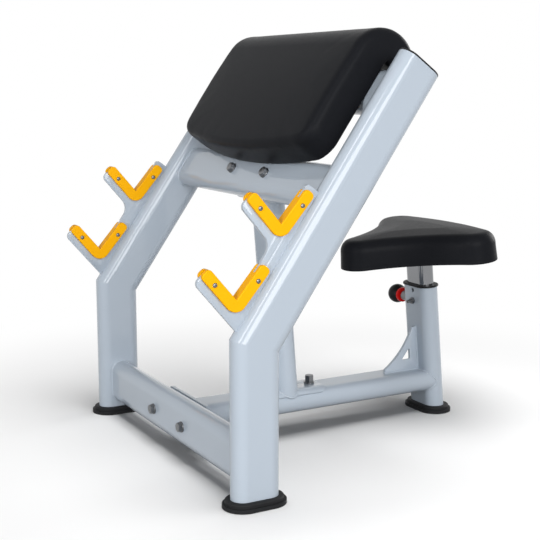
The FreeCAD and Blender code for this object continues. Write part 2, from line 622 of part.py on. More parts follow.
def envelope(name, length, rise=None, grow=None, upright=False):
    """Solid flat oval, to cope or seat other pieces on a tube."""
    owner = body(name)
    flat = sketch(owner, "XY_Plane", rise=rise)
    obround(flat, "tube_long", "tube_short", upright, grow=grow)
    pad(owner, flat, length)
    return owner


def cut(base, tool, name):
    """One piece minus another."""
    feature = doc.addObject("Part::Cut", name)
    feature.Base = base
    feature.Tool = tool
    doc.recompute()
    return feature


def round_bar(name, wide, height, at=("0", "0", "0"), turn=UPRIGHT):
    """Plain cylinder from sheet sizes."""
    feature = doc.addObject("Part::Cylinder", name)
    bind(feature, "Radius", f"({wide}) / 2")
    bind(feature, "Height", height)
    return place(feature, *at, turn=turn)


def hex_bar(name, across, height, at=("0", "0", "0"), turn=UPRIGHT):
    """Hexagonal prism, measured across its flats."""
    feature = doc.addObject("Part::Prism", name)
    feature.Polygon = 6
    bind(feature, "Circumradius", f"({across}) / sqrt(3)")
    bind(feature, "Height", height)
    return place(feature, *at, turn=turn)


def fuse(name, pieces):
    feature = doc.addObject("Part::MultiFuse", name)
    feature.Shapes = pieces
    return feature


def group(name, pieces):
    feature = doc.addObject("Part::Compound", name)
    feature.Links = pieces
    return feature


# Legs: a mitred pair of tubes on each side, rubber feet and plastic caps

for side, sign in (("left", "-"), ("right", "")):
    lower = tube(f"{side}_lower_leg", "XY_Plane", "bend_height + bend_rise - foot_sole", True)
    flat = sketch(lower, "YZ_Plane", lift="bend_height - foot_sole")
    polygon(flat, [("cut_half_front", "mitre_rise"), ("cut_half", "mitre_drop"), ("cut_half", "mitre_clear"),
                   ("cut_half_front", "mitre_clear")])
    pocket(lower, flat)
    node(place(lower, f"{sign}leg_mid", "leg_line", "foot_sole"), f"{side}_lower_leg")

    upper = tube(f"{side}_upper_leg", "XY_Plane", "leg_slant_length + bend_rise", True, rise="-bend_rise")
    flat = sketch(upper, "YZ_Plane")
    polygon(flat, [("cut_half_front", "mitre_drop"), ("cut_half", "mitre_rise"), ("cut_half", "mitre_under"),
                   ("cut_half_front", "mitre_under")])
    pocket(upper, flat)
    node(on_slant(upper, x=f"{sign}leg_mid"), f"{side}_upper_leg")

    cap = body(f"{side}_leg_cap")
    flat = sketch(cap, "XY_Plane")
    obround(flat, "tube_long", "tube_short", True)
    pad(cap, flat, "cap_thick")
    fillet(cap, "cap_round", at_height(Z_AXIS, size("cap_thick")))
    flat = sketch(cap, "XY_Plane")
    obround(flat, "bore_long", "bore_short", True, grow="-seat_play")
    obround(flat, "bore_long", "bore_short", True, grow="-cap_wall")
    pad(cap, flat, "cap_plug", turned=True)
    node(on_slant(cap, "leg_slant_length", f"{sign}leg_mid"), f"{side}_leg_cap")


def foot_blank(name, upright):
    """Rubber foot before its pocket: wide rim below, rounded shoulder above."""
    owner = body(name)
    flat = sketch(owner, "XY_Plane")
    obround(flat, "tube_long", "tube_short", upright, grow="foot_rim")
    pad(owner, flat, "foot_rim_height")
    flat = sketch(owner, "XY_Plane", rise="foot_rim_height")
    obround(flat, "tube_long", "tube_short", upright, grow="foot_shoulder")
    pad(owner, flat, "foot_height - foot_rim_height")
    fillet(owner, "foot_round", at_height(Z_AXIS, size("foot_height")))
    return owner


for side, sign in (("left", "-"), ("right", "")):
    foot = foot_blank(f"{side}_foot", True)
    flat = sketch(foot, "XY_Plane", rise="foot_height")
    obround(flat, "tube_long", "tube_short", True, grow="seat_play")
    pocket(foot, flat, "foot_height - foot_sole")
    node(place(foot, f"{sign}leg_mid", "leg_line"), f"{side}_foot")

# Crossbars

low_bar = tube("lower_crossbar", "YZ_Plane", "bar_length", True, both=True)
flat = sketch(low_bar, "XZ_Plane")
hole_grid(flat, "bolt_shank", "flange_bolts")
pocket(low_bar, flat)
node(place(low_bar, y="leg_line", z="low_bar_height"), "lower_crossbar")

mid_bar = tube("middle_crossbar", "YZ_Plane", "bar_length", True, both=True)
flat = sketch(mid_bar, "XZ_Plane")
hole_grid(flat, "bolt_shank", "flange_bolts")
pocket(mid_bar, flat)
node(on_slant(mid_bar, "mid_bar_along"), "middle_crossbar")

top_bar = tube("upper_crossbar", "YZ_Plane", "bar_length", True, both=True)
flat = sketch(top_bar, "XZ_Plane")
hole_grid(flat, "small_bolt", "pad_bolts", "pad_bolt_rise")
pocket(top_bar, flat)
node(on_slant(top_bar, "top_bar_along"), "upper_crossbar")


# Bolted flanges: the beam's behind the lower crossbar, the centre post's behind the middle one

def flange(name):
    owner = body(name)
    flat = sketch(owner, "XZ_Plane")
    rectangle(flat, "flange_wide", "flange_tall")
    pad(owner, flat, "flange_thick", turned=True)
    flat = sketch(owner, "XZ_Plane")
    hole_grid(flat, "bolt_shank", "flange_bolts")
    pocket(owner, flat)
    half_x, half_z = size("flange_wide") / 2, size("flange_tall") / 2
    corners = [Vector(x, 0, z) for x in (-half_x, half_x) for z in (-half_z, half_z)]
    fillet(owner, "flange_corner", runs_along(Y_AXIS, corners))
    return owner


beam_flange = flange("beam_flange")
node(place(beam_flange, y="leg_line + tube_round", z="low_bar_height"), "beam_flange")
strut_flange = flange("centre_post_flange")
place(strut_flange, y="leg_line + mid_bar_along * sin(leg_slant) + tube_round * cos(leg_slant)",
      z="bend_height + mid_bar_along * cos(leg_slant) - tube_round * sin(leg_slant)",
      tilt=("leg_slant", TOP_BACK))
node(strut_flange, "centre_post_flange")

# Base beam, coped to the seat post

post_form = envelope("post_form", "post_height")
on_post(post_form)
beam = tube("base_beam_blank", "XZ_Plane", "beam_reach - tube_round - flange_thick - cope_trim", False,
            turned=True)
flat = sketch(beam, "XY_Plane", lift="strut_reach - tube_round - flange_thick")
hole_grid(flat, "bolt_shank", None, "shoe_bolts")
pocket(beam, flat, "tube_round + overrun", turned=True)
place(beam, y="leg_line + tube_round + flange_thick", z="low_bar_height")
node(cut(beam, post_form, "base_beam"), "base_beam")

# Centre post between its saddle on the beam, to which it is coped, and its flange under the middle crossbar

shoe = body("centre_post_shoe")
flat = sketch(shoe, "XZ_Plane")
polygon(flat, [("shoe_lip_x", "shoe_lip_z"), ("tube_reach", "shoe_round"), ("-tube_reach", "shoe_round"),
               ("-shoe_lip_x", "shoe_lip_z"), ("-shoe_seat_x", "shoe_seat_z"), ("-tube_reach", "tube_round"),
               ("tube_reach", "tube_round"), ("shoe_seat_x", "shoe_seat_z")],
        bows={0: ("shoe_bow_x", "shoe_bow_z"), 2: ("-shoe_bow_x", "shoe_bow_z"),
              4: ("-shoe_seat_bow_x", "shoe_seat_bow_z"), 6: ("shoe_seat_bow_x", "shoe_seat_bow_z")})
pad(shoe, flat, "shoe_long", both=True)
flat = sketch(shoe, "XY_Plane")
hole_grid(flat, "bolt_shank", None, "shoe_bolts")
pocket(shoe, flat)
wrap, half_y = math.radians(size("shoe_wrap")), size("shoe_long") / 2
for way in (-1, 1):
    lip = Vector(way * math.sin(wrap), 0, math.cos(wrap))
    root = X_AXIS * way * size("tube_reach")
    root = root - lip * root.dot(lip)
    fillet(shoe, "shoe_corner", runs_along(lip, [root + Y_AXIS * half_y, root - Y_AXIS * half_y]))
node(place(shoe, y="leg_line + strut_reach", z="low_bar_height"), "centre_post_shoe")

shoe_form = body("shoe_form")
flat = sketch(shoe_form, "XZ_Plane")
obround(flat, "tube_long", "tube_short", grow="shoe_thick")
pad(shoe_form, flat, "shoe_long", both=True)
place(shoe_form, y="leg_line + strut_reach", z="low_bar_height")
strut = tube("centre_post_blank", "XY_Plane", "strut_foot + strut_length + strut_top_rise", False,
             rise="-strut_foot")
flat = sketch(strut, "YZ_Plane", lift="strut_length")
polygon(flat, [("strut_cut_front", "strut_top_drop"), ("strut_cut", "strut_top_rise"),
               ("strut_cut", "strut_top_clear"), ("strut_cut_front", "strut_top_clear")])
pocket(strut, flat)
place(strut, y="leg_line + strut_reach", z="shoe_top", tilt=("strut_lean", TOP_FORWARD))
node(cut(strut, shoe_form, "centre_post"), "centre_post")

# Seat post, its gusset and its foot

post = tube("seat_post", "XY_Plane", "post_height - post_start", False, rise="post_start")
flat = sketch(post, "YZ_Plane")
circle_at(flat, "pin_shank", "slide_play", "0", "pin_height", 0.0, size("pin_height"))
pocket(post, flat, "cut_half")
flat = sketch(post, "XZ_Plane")
circle_at(flat, "clamp_shank", "slide_play", "0", "clamp_height", 0.0, size("clamp_height"))
circle_at(flat, "spare_wide", "slide_play", "0", "spare_height", 0.0, size("spare_height"))
pocket(post, flat, "tube_round + overrun", turned=True)
node(on_post(post), "seat_post")

gusset = body("post_gusset")
flat = sketch(gusset, "YZ_Plane")
polygon(flat, [("post_front_low", "beam_top"), ("post_front_high", "gusset_peak"),
               ("gusset_peak_front", "gusset_peak"), ("gusset_toe_front", "gusset_toe_top"),
               ("gusset_toe_front", "beam_top")], bows={2: ("gusset_mid_y", "gusset_mid_z")})
pad(gusset, flat, "gusset_thick", both=True)
flat = sketch(gusset, "YZ_Plane")
polygon(flat, [("window_back", "window_floor"), ("window_peak_back", "window_peak"),
               ("window_front", "window_floor")])
pocket(gusset, flat)
corners = [Vector(0, size("window_back"), size("window_floor")),
           Vector(0, size("window_peak_back"), size("window_peak")),
           Vector(0, size("window_front"), size("window_floor"))]
fillet(gusset, "window_round", runs_along(X_AXIS, corners))
node(place(gusset, y="seat_post_y"), "post_gusset")

foot = foot_blank("rear_foot_blank", False)
place(foot, y="seat_post_y")
foot_form = envelope("foot_form", "post_height", rise="post_start", grow="seat_play")
on_post(foot_form)
node(cut(foot, foot_form, "rear_foot"), "rear_foot")

# Bar rack: a plate on each leg with two arms, and a grooved hook liner in each fork

leg_form = envelope("leg_form", "leg_slant_length + 2 * bend_rise", rise="-bend_rise", upright=True)
on_slant(leg_form)

for side, sign in (("left", "-"), ("right", "")):
    plate = body(f"{side}_rack_blank")
    flat = sketch(plate, "YZ_Plane")
    polygon(flat, [("rack_root", "rack_foot_up"), ("lower_heel_out", "lower_heel_up"),
                   ("lower_tip_out", "lower_tip_up"), ("lower_vee_out", "lower_vee_up"),
                   ("lower_root_out", "lower_root_up"), ("lower_tongue_out", "lower_tongue_up"),
                   ("lower_step_out", "lower_step_up"), ("rack_face", "lower_step_up"),
                   ("rack_face", "hollow_up"), ("lower_heel_out", "upper_heel_up"),
                   ("lower_tip_out", "upper_tip_up"), ("lower_vee_out", "upper_vee_up"),
                   ("lower_root_out", "upper_root_up"), ("lower_tongue_out", "upper_tongue_up"),
                   ("lower_step_out", "upper_step_up"), ("rack_face", "upper_step_up"),
                   ("rack_face", "rack_peak"), ("rack_root", "rack_peak")])
    pad(plate, flat, "rack_thick", both=True)
    flat = sketch(plate, "YZ_Plane")
    turn = math.radians(size("leg_slant"))
    for front in (-1, 1):
        for pitch in ("0", "hook_pitch"):
            y = front * size("screw_y")
            z = size("screw_z")
            out = -size("hook_out") + y * math.cos(turn) - z * math.sin(turn)
            up = size("hook_along") + size(pitch) + y * math.sin(turn) + z * math.cos(turn)
            out_text = f"-hook_out + {front} * screw_y * cos(leg_slant) - screw_z * sin(leg_slant)"
            up_text = f"hook_along + {pitch} + {front} * screw_y * sin(leg_slant) + screw_z * cos(leg_slant)"
            circle_at(flat, "screw_shank", "slide_play", out_text, up_text, out, up)
    pocket(plate, flat)
    tips = [Vector(0, size("lower_heel_out"), size(z)) for z in ("lower_heel_up", "upper_heel_up")]
    fillet(plate, "rack_tip_round", runs_along(X_AXIS, tips))
    fillet(plate, "rack_hollow", runs_along(X_AXIS, [Vector(0, size("rack_face"), size("hollow_up"))]))
    fillet(plate, "rack_head_round", runs_along(X_AXIS, [Vector(0, size("rack_face"), size("rack_peak"))]))
    place(plate, y="crest_y", z="crest_z", tilt=("leg_slant", TOP_BACK))
    coped = cut(plate, leg_form, f"{side}_rack_plate")
    node(place(coped, f"{sign}leg_mid"), f"{side}_rack_plate")


def hook_rim(edge):
    """Edges of both faces of a hook."""
    half = size("hook_thick") / 2
    return at_height(X_AXIS, half)(edge) or at_height(X_AXIS, -half)(edge)


screw_pieces = []
nut_pieces = []
for side, sign in (("left", "-"), ("right", "")):
    for step, pitch in (("lower", "0"), ("upper", "hook_pitch")):
        hook = body(f"{side}_{step}_hook")
        flat = sketch(hook, "YZ_Plane")
        polygon(flat, [("0", "0"), ("hook_tip_y", "hook_tip_z"), ("hook_back_y", "hook_back_z"),
                       ("hook_turn_y", "hook_turn_z"), ("-hook_turn_y", "hook_turn_z"),
                       ("-hook_back_y", "hook_back_z"), ("-hook_tip_y", "hook_tip_z")],
                bows={3: ("0", "hook_sole")})
        pad(hook, flat, "hook_thick", both=True)
        ends = [Vector(0, front * size(f"hook_{spot}_y"), size(f"hook_{spot}_z"))
                for front in (-1, 1) for spot in ("tip", "back")]
        fillet(hook, "hook_tip_round", runs_along(X_AXIS, ends))
        fillet(hook, "hook_edge", hook_rim)
        flat = sketch(hook, "YZ_Plane")
        polygon(flat, [("0", "slot_vee_z"), ("slot_tip_y", "slot_tip_z"), ("slot_back_y", "slot_back_z"),
                       ("0", "slot_sole"), ("-slot_back_y", "slot_back_z"), ("-slot_tip_y", "slot_tip_z")])
        pocket(hook, flat, "rack_thick + 2 * seat_play", both=True)
        flat = sketch(hook, "YZ_Plane")
        polygon(flat, [("slit_root_y", "slit_root_z"), ("slit_tip_y", "slit_tip_z"),
                       ("slit_end_y", "slit_end_z"), ("slit_heel_y", "slit_heel_z")])
        pocket(hook, flat, "rack_thick + 2 * seat_play", both=True)
        flat = sketch(hook, "YZ_Plane")
        for front in (-1, 1):
            circle_at(flat, "screw_shank", "slide_play", f"{front} * screw_y", "screw_z",
                      front * size("screw_y"), size("screw_z"))
        pocket(hook, flat)
        corner_y = f"crest_y + (hook_along + {pitch}) * sin(leg_slant) - hook_out * cos(leg_slant)"
        corner_z = f"crest_z + (hook_along + {pitch}) * cos(leg_slant) + hook_out * sin(leg_slant)"
        node(place(hook, f"{sign}leg_mid", corner_y, corner_z), f"{side}_{step}_hook")
        for front in (-1, 1):
            spot_y = f"{corner_y} + {front} * screw_y"
            spot_z = f"{corner_z} + screw_z"
            outer = f"{sign}leg_mid + hook_thick / 2"
            inner = f"{sign}leg_mid - hook_thick / 2 - screw_nut_tall"
            head = round_bar("screw_head", "screw_head", "screw_head_tall", (outer, spot_y, spot_z), ALONG_X)
            shank = round_bar("screw_shank", "screw_shank", "hook_thick + screw_nut_tall",
                              (inner, spot_y, spot_z), ALONG_X)
            screw_pieces.append(fuse("hook_screw", [head, shank]))
            block = hex_bar("screw_nut", "screw_nut", "screw_nut_tall", (inner, spot_y, spot_z), ALONG_X)
            bore = round_bar("screw_bore", "screw_shank + 2 * thread_play", "screw_nut_tall",
                             (inner, spot_y, spot_z), ALONG_X)
            nut_pieces.append(cut(block, bore, "hook_nut"))
node(group("hook_screws", screw_pieces), "hook_screws")
node(group("hook_nuts", nut_pieces), "hook_nuts")

# Frame bolts: each set lies along its own +Z, heads below zero, spaced along X

bolt_sets = []
washer_sets = []
nut_sets = []


def bolt_set(name, spacing, grip, head_tall="bolt_head_tall"):
    """Two bolts with washers and nuts through a stack of a given thickness."""
    bolts, washers, nuts = [], [], []
    for sign in ("-", ""):
        x = f"{sign}{spacing} / 2"
        under_head = (x, "0", "-washer_thick")
        head = hex_bar("bolt_head", "bolt_head", head_tall, (x, "0", f"-washer_thick - {head_tall}"))
        reach = f"2 * washer_thick + {grip} + bolt_nut_tall + bolt_tail"
        shank = round_bar("bolt_shank", "bolt_shank", reach, under_head)
        bolts.append(fuse("bolt", [head, shank]))
        for z in ("-washer_thick", grip):
            disc = round_bar("washer_disc", "washer_wide", "washer_thick", (x, "0", z))
            bore = round_bar("washer_bore", "bolt_shank + 2 * slide_play", "washer_thick", (x, "0", z))
            washers.append(cut(disc, bore, "washer"))
        z = f"{grip} + washer_thick"
        block = hex_bar("nut_block", "bolt_head", "bolt_nut_tall", (x, "0", z))
        bore = round_bar("nut_bore", "bolt_shank + 2 * thread_play", "bolt_nut_tall", (x, "0", z))
        nuts.append(cut(block, bore, "nut"))
    sets = [group(f"{name}_bolts", bolts), group(f"{name}_washers", washers), group(f"{name}_nuts", nuts)]
    bolt_sets.append(sets[0])
    washer_sets.append(sets[1])
    nut_sets.append(sets[2])
    return sets


for part in bolt_set("low_bar", "flange_bolts", "tube_short + flange_thick"):
    place(part, y="leg_line - tube_round", z="low_bar_height", turn=ALONG_Y)
for part in bolt_set("mid_bar", "flange_bolts", "tube_short + flange_thick"):
    place(part, y="leg_line + mid_bar_along * sin(leg_slant) - tube_round * cos(leg_slant)",
          z="bend_height + mid_bar_along * cos(leg_slant) + tube_round * sin(leg_slant)",
          tilt=("90 + leg_slant", TOP_BACK))
for part in bolt_set("shoe", "shoe_bolts", "tube_wall + shoe_thick", "shoe_head_tall"):
    place(part, y="leg_line + strut_reach", z="shoe_top", turn=Rotation(Vector(1, 1, 0), 180))
node(group("frame_bolts", bolt_sets), "frame_bolts")
node(group("frame_washers", washer_sets), "frame_washers")
node(group("frame_nuts", nut_sets), "frame_nuts")


# Arm pad: a plywood board bolted to the upper crossbar, and a cushion that rolls over its top

def cushion_bolts(name, spacing_x, spacing_y, grip):
    """Four bolts into threaded inserts, along +Z from a seat at zero."""
    bolts, inserts = [], []
    for sign_x in ("-", ""):
        for sign_y in ("-", ""):
            x, y = f"{sign_x}{spacing_x} / 2", f"{sign_y}{spacing_y} / 2"
            head = hex_bar("small_head", "small_head", "small_head_tall", (x, y, "-small_head_tall"))
            shank = round_bar("small_shank", "small_bolt", f"{grip} + small_grip", (x, y, "0"))
            bolts.append(fuse("small_bolt", [head, shank]))
            sleeve = round_bar("insert_outer", "insert_wide", "insert_deep", (x, y, grip))
            bore = round_bar("insert_bore", "small_bolt + 2 * thread_play", "insert_deep", (x, y, grip))
            inserts.append(cut(sleeve, bore, "insert"))
    return group(f"{name}_bolt_row", bolts), group(f"{name}_insert_row", inserts)


def insert_bores(name, spacing_x, spacing_y, start, depth):
    """Four plugs that bore a board for its threaded inserts."""
    plugs = []
    for sign_x in ("-", ""):
        for sign_y in ("-", ""):
            spot = (f"{sign_x}{spacing_x} / 2", f"{sign_y}{spacing_y} / 2", start)
            plugs.append(round_bar("insert_hole", "insert_wide", depth, spot))
    return group(f"{name}_insert_holes", plugs)


def pad_section(x):
    """Cushion section across the bench at x: back, rolled lip, roll, front and lower edge."""
    half = size("pad_wide") / 2
    edge = size("pad_edge")
    corner = size("pad_corner")
    from_end = half - abs(x)
    reach = edge - min(from_end, edge)
    inset = edge - math.sqrt(edge * edge - reach * reach)
    low = size("pad_low") + size("pad_bulge") * (x / half) ** 2
    bite = corner - min(from_end, corner)
    low += corner - math.sqrt(corner * corner - bite * bite)
    back = -size("tube_round")
    front = back - size("pad_thick") + inset
    radius = size("roll_radius") - inset
    middle = Vector(x, front + radius, size("roll_along"))
    under = size("roll_along") + size("roll_lip") + inset
    lip = size("roll_lip_round")
    soft = size("pad_lower_edge")
    lift = math.asin(min((under + lip - middle.z) / radius, 1))
    lip_end = middle + Vector(0, math.cos(lift), math.sin(lift)) * radius
    lip_start = Vector(x, lip_end.y - lip, under)
    lip_mid = Vector(x, lip_end.y - lip * (1 - math.sqrt(0.5)), under + lip * (1 - math.sqrt(0.5)))
    crest = middle + Vector(0, 0, radius)
    half_back = (lift + math.pi / 2) / 2
    back_mid = middle + Vector(0, math.cos(half_back), math.sin(half_back)) * radius
    front_mid = middle + Vector(0, -math.sqrt(0.5), math.sqrt(0.5)) * radius
    front_top = Vector(x, front, middle.z)
    front_low = Vector(x, front, low + soft)
    swell = Vector(x, front - size("pad_crown"), (front_top.z + front_low.z) / 2)
    turn = Vector(x, front + soft * (1 - math.sqrt(0.5)), low + soft * (1 - math.sqrt(0.5)))
    low_front = Vector(x, front + soft, low)
    low_back = Vector(x, back, low)
    lip_root = Vector(x, back, under)
    edges = [Part.LineSegment(low_back, lip_root), Part.LineSegment(lip_root, lip_start),
             Part.Arc(lip_start, lip_mid, lip_end), Part.Arc(lip_end, back_mid, crest),
             Part.Arc(crest, front_mid, front_top), Part.Arc(front_top, swell, front_low),
             Part.Arc(front_low, turn, low_front), Part.LineSegment(low_front, low_back)]
    return Part.Wire([edge.toShape() for edge in edges])


half_pad = size("pad_wide") / 2
edge_shares = [1 - math.cos(math.radians(angle)) for angle in (15, 35, 60, 90)]
stations = [half_pad - size("pad_edge") * share for share in edge_shares]
corner_shares = (0.75, 1.0, 1.5, 2.2, 3.1, 4.2, 5.5)
stations += [half_pad - size("pad_corner") * share for share in corner_shares]
sections = [pad_section(-x) for x in stations]
sections.append(pad_section(0.0))
sections += [pad_section(x) for x in reversed(stations)]
cushion_form = doc.addObject("Part::Feature", "arm_pad_form")
cushion_form.Shape = Part.makeLoft(sections, True, False)

board_blank = body("pad_board_blank")
flat = sketch(board_blank, "XZ_Plane")
rectangle(flat, "board_wide", "board_tall")
pad(board_blank, flat, "board_thick")
half_x, half_z = size("board_wide") / 2, size("board_tall") / 2
corners = [Vector(x, 0, z) for x in (-half_x, half_x) for z in (-half_z, half_z)]
fillet(board_blank, "board_corner", runs_along(Y_AXIS, corners))
place(board_blank, y="-tube_round", z="board_along")
arm_pad = cut(cushion_form, board_blank, "arm_pad")
node(on_slant(arm_pad), "arm_pad")

pad_bolts, pad_inserts = cushion_bolts("pad", "pad_bolts", "pad_bolt_rise", "tube_short")
insert_holes = insert_bores("pad", "pad_bolts", "pad_bolt_rise", "tube_short", "board_thick")
for part in (pad_bolts, pad_inserts, insert_holes):
    place(part, y="tube_round", z="top_bar_along", turn=Rotation(Vector(1, 0, 0), 90))
pad_board = cut(board_blank, insert_holes, "pad_board")
node(on_slant(pad_board), "pad_board")
node(on_slant(group("arm_pad_bolts", [pad_bolts])), "arm_pad_bolts")
node(on_slant(group("arm_pad_inserts", [pad_inserts])), "arm_pad_inserts")


# Seat: a cushion with a nose and two rear lobes on a board, bolted to a plate on the sliding post

def arc_between(centre, radius, start, end, height, scale):
    """Arc of a seat outline between two bearings, in radians."""
    spots = []
    for bearing in (start, (start + end) / 2, end):
        spots.append(Vector((centre.x + radius * math.cos(bearing)) * scale,
                            (centre.y + radius * math.sin(bearing)) * scale, height))
    return Part.Arc(*spots).toShape()


def bearing_to(start, end):
    return math.atan2(end.y - start.y, end.x - start.x)


def seat_outline(inset, height, scale=1.0):
    """Seat outline drawn in by an inset: nose, hollow flanks, lobes and bowed rear, all tangent arcs."""
    nose = Vector(0, -size("nose_reach"), 0)
    lobe = Vector(size("lobe_out"), size("lobe_back"), 0)
    nose_radius = size("nose_radius")
    lobe_radius = size("lobe_radius")
    hollow = size("flank_radius")
    span = lobe - nose
    to_nose = hollow + nose_radius
    to_lobe = hollow + lobe_radius
    along = (span.Length ** 2 + to_nose ** 2 - to_lobe ** 2) / (2 * span.Length)
    aside = math.sqrt(to_nose ** 2 - along ** 2)
    forward = Vector(span).normalize()
    flank = nose + forward * along + Vector(forward.y, -forward.x, 0) * aside
    bow = size("rear_bow")
    rear_radius = (lobe.x ** 2 + bow ** 2) / (2 * bow) + lobe_radius
    rear = Vector(0, lobe.y - math.sqrt((rear_radius - lobe_radius) ** 2 - lobe.x ** 2), 0)
    nose_turn = bearing_to(nose, flank)
    lobe_start = bearing_to(lobe, flank)
    lobe_end = bearing_to(rear, lobe)
    flank_start = bearing_to(flank, nose)
    flank_end = bearing_to(flank, lobe)
    if flank_start < flank_end:
        flank_start += 2 * math.pi
    tau, half_turn = 2 * math.pi, math.pi
    mirror_flank = Vector(-flank.x, flank.y, 0)
    mirror_lobe = Vector(-lobe.x, lobe.y, 0)
    arcs = [
        (nose, nose_radius - inset, -half_turn - nose_turn, nose_turn),
        (flank, hollow + inset, flank_start, flank_end),
        (lobe, lobe_radius - inset, lobe_start, lobe_end),
        (rear, rear_radius - inset, lobe_end, half_turn - lobe_end),
        (mirror_lobe, lobe_radius - inset, half_turn - lobe_end, half_turn - lobe_start),
        (mirror_flank, hollow + inset, half_turn - flank_end, half_turn - flank_start),
    ]
    edges = [arc_between(centre, radius, start, end, height, scale) for centre, radius, start, end in arcs]
    return Part.Wire(edges)


seat_thick = size("seat_thick")
seat_roll = size("seat_roll")
seat_shares = [(0.0, 0.0), (0.2, 0.02), (0.4, 0.05), (0.58, 0.09), (0.7, 0.13), (0.8, 0.23), (0.89, 0.39),
               (0.95, 0.57), (0.985, 0.77), (1.0, 1.0)]
sections = []
for rise_share, roll_share in seat_shares:
    sections.append(seat_outline(seat_roll * roll_share, seat_thick * rise_share))
crown_share = 0.45
crown = [sections[-1], seat_outline(seat_roll, seat_thick + size("seat_crown"), crown_share)]
seat_form = doc.addObject("Part::Feature", "seat_form")
seat_form.Shape = Part.makeLoft(sections, True, False).fuse(Part.makeLoft(crown, True, True))
place(seat_form, z="seat_height")

board_outline = doc.addObject("Part::Feature", "seat_board_outline")
board_outline.Shape = Part.Face(seat_outline(size("seat_board_inset"), 0.0))
seat_blank = doc.addObject("Part::Extrusion", "seat_board_blank")
seat_blank.Base = board_outline
seat_blank.Dir = Z_AXIS
seat_blank.DirMode = "Custom"
seat_blank.Solid = True
bind(seat_blank, "LengthFwd", "seat_board_thick")
place(seat_blank, z="seat_height")
node(on_post(cut(seat_form, seat_blank, "seat_cushion")), "seat_cushion")

seat_bolts, seat_inserts = cushion_bolts("seat", "saddle_bolts_wide", "saddle_bolts_long", "saddle_thick")
insert_holes = insert_bores("seat", "saddle_bolts_wide", "saddle_bolts_long", "saddle_thick",
                            "seat_board_thick")
for part in (seat_bolts, seat_inserts, insert_holes):
    place(part, z="inner_top")
node(on_post(cut(seat_blank, insert_holes, "seat_board")), "seat_board")
node(on_post(group("seat_bolt_set", [seat_bolts])), "seat_bolts")
node(on_post(group("seat_insert_set", [seat_inserts])), "seat_inserts")

saddle = body("seat_plate")
flat = sketch(saddle, "XY_Plane")
rectangle(flat, "saddle_wide", "saddle_long")
pad(saddle, flat, "saddle_thick")
flat = sketch(saddle, "XY_Plane")
hole_grid(flat, "small_bolt", "saddle_bolts_wide", "saddle_bolts_long")
pocket(saddle, flat)
half_x, half_y = size("saddle_wide") / 2, size("saddle_long") / 2
corners = [Vector(x, y, 0) for x in (-half_x, half_x) for y in (-half_y, half_y)]
fillet(saddle, "saddle_corner", runs_along(Z_AXIS, corners))
node(on_post(saddle, "inner_top"), "seat_plate")

# Sliding post with its row of height holes, the sleeve that guides it and the bumper below it

HEIGHT_HOLES = 7
inner = tube("sliding_post", "XY_Plane", "inner_top - inner_start", False, rise="inner_start",
             section=("inner_long", "inner_short", "-inner_wall"))
flat = sketch(inner, "YZ_Plane")
for step in range(HEIGHT_HOLES):
    circle_at(flat, "pin_shank", "slide_play", "0", f"pin_height - {step} * hole_pitch",
              0.0, size("pin_height") - step * size("hole_pitch"))
pocket(inner, flat, "cut_half")
node(on_post(inner), "sliding_post")

sleeve = body("post_sleeve")
flat = sketch(sleeve, "XY_Plane", rise="post_height")
obround(flat, "tube_long", "tube_short", grow="sleeve_rim")
obround(flat, "inner_long", "inner_short", grow="slide_play")
pad(sleeve, flat, "sleeve_rim_thick")
rim_top = size("post_height") + size("sleeve_rim_thick")


def rim_edge(edge):
    """Outer edge on top of the sleeve's rim."""
    box = edge.BoundBox
    wide = max(abs(box.XMin), abs(box.XMax)) > size("inner_long") / 2 + size("sleeve_rim")
    deep = max(abs(box.YMin), abs(box.YMax)) > size("tube_round")
    return at_height(Z_AXIS, rim_top)(edge) and (wide or deep)


fillet(sleeve, "sleeve_rim_round", rim_edge)
flat = sketch(sleeve, "XY_Plane", rise="post_height")
obround(flat, "bore_long", "bore_short", grow="-seat_play")
obround(flat, "inner_long", "inner_short", grow="slide_play")
pad(sleeve, flat, "sleeve_length", turned=True)
flat = sketch(sleeve, "YZ_Plane")
circle_at(flat, "pin_shank", "slide_play", "0", "pin_height", 0.0, size("pin_height"))
pocket(sleeve, flat, "cut_half")
flat = sketch(sleeve, "XZ_Plane")
circle_at(flat, "clamp_shank", "slide_play", "0", "clamp_height", 0.0, size("clamp_height"))
pocket(sleeve, flat, "tube_round + overrun", turned=True)
node(on_post(sleeve), "post_sleeve")

bumper = body("post_bumper")
flat = sketch(bumper, "XY_Plane", rise="post_start")
obround(flat, "bore_long", "bore_short", grow="-seat_play")
pad(bumper, flat, "inner_start - post_start - slide_play")
node(on_post(bumper), "post_bumper")


# Height pin: a sprung plunger in a barrel on the post's edge, with a ball knob and a coloured ring

def lathe(name, corners, bows=None):
    """Turned piece about the body's X axis from an outline of distances and radii."""
    owner = body(name)
    flat = sketch(owner, "XZ_Plane")
    polygon(flat, corners, bows)
    feature = owner.newObject("PartDesign::Revolution", name + "_turned")
    feature.Profile = flat
    feature.ReferenceAxis = (flat, ["H_Axis"])
    feature.Angle = 360
    doc.recompute()
    return owner


pin = lathe("height_pin", [("-nose_end", "0"), ("-nose_end", "nose_flat"),
                           ("-nose_shoulder", "nose_radius_pin"), ("-collar_face", "nose_radius_pin"),
                           ("-collar_face", "collar_radius"),
                           ("-collar_back", "collar_radius"), ("-collar_back", "stem_radius"),
                           ("-stem_end", "stem_radius"), ("-stem_end", "0")])
node(on_post(pin, "pin_height"), "height_pin")

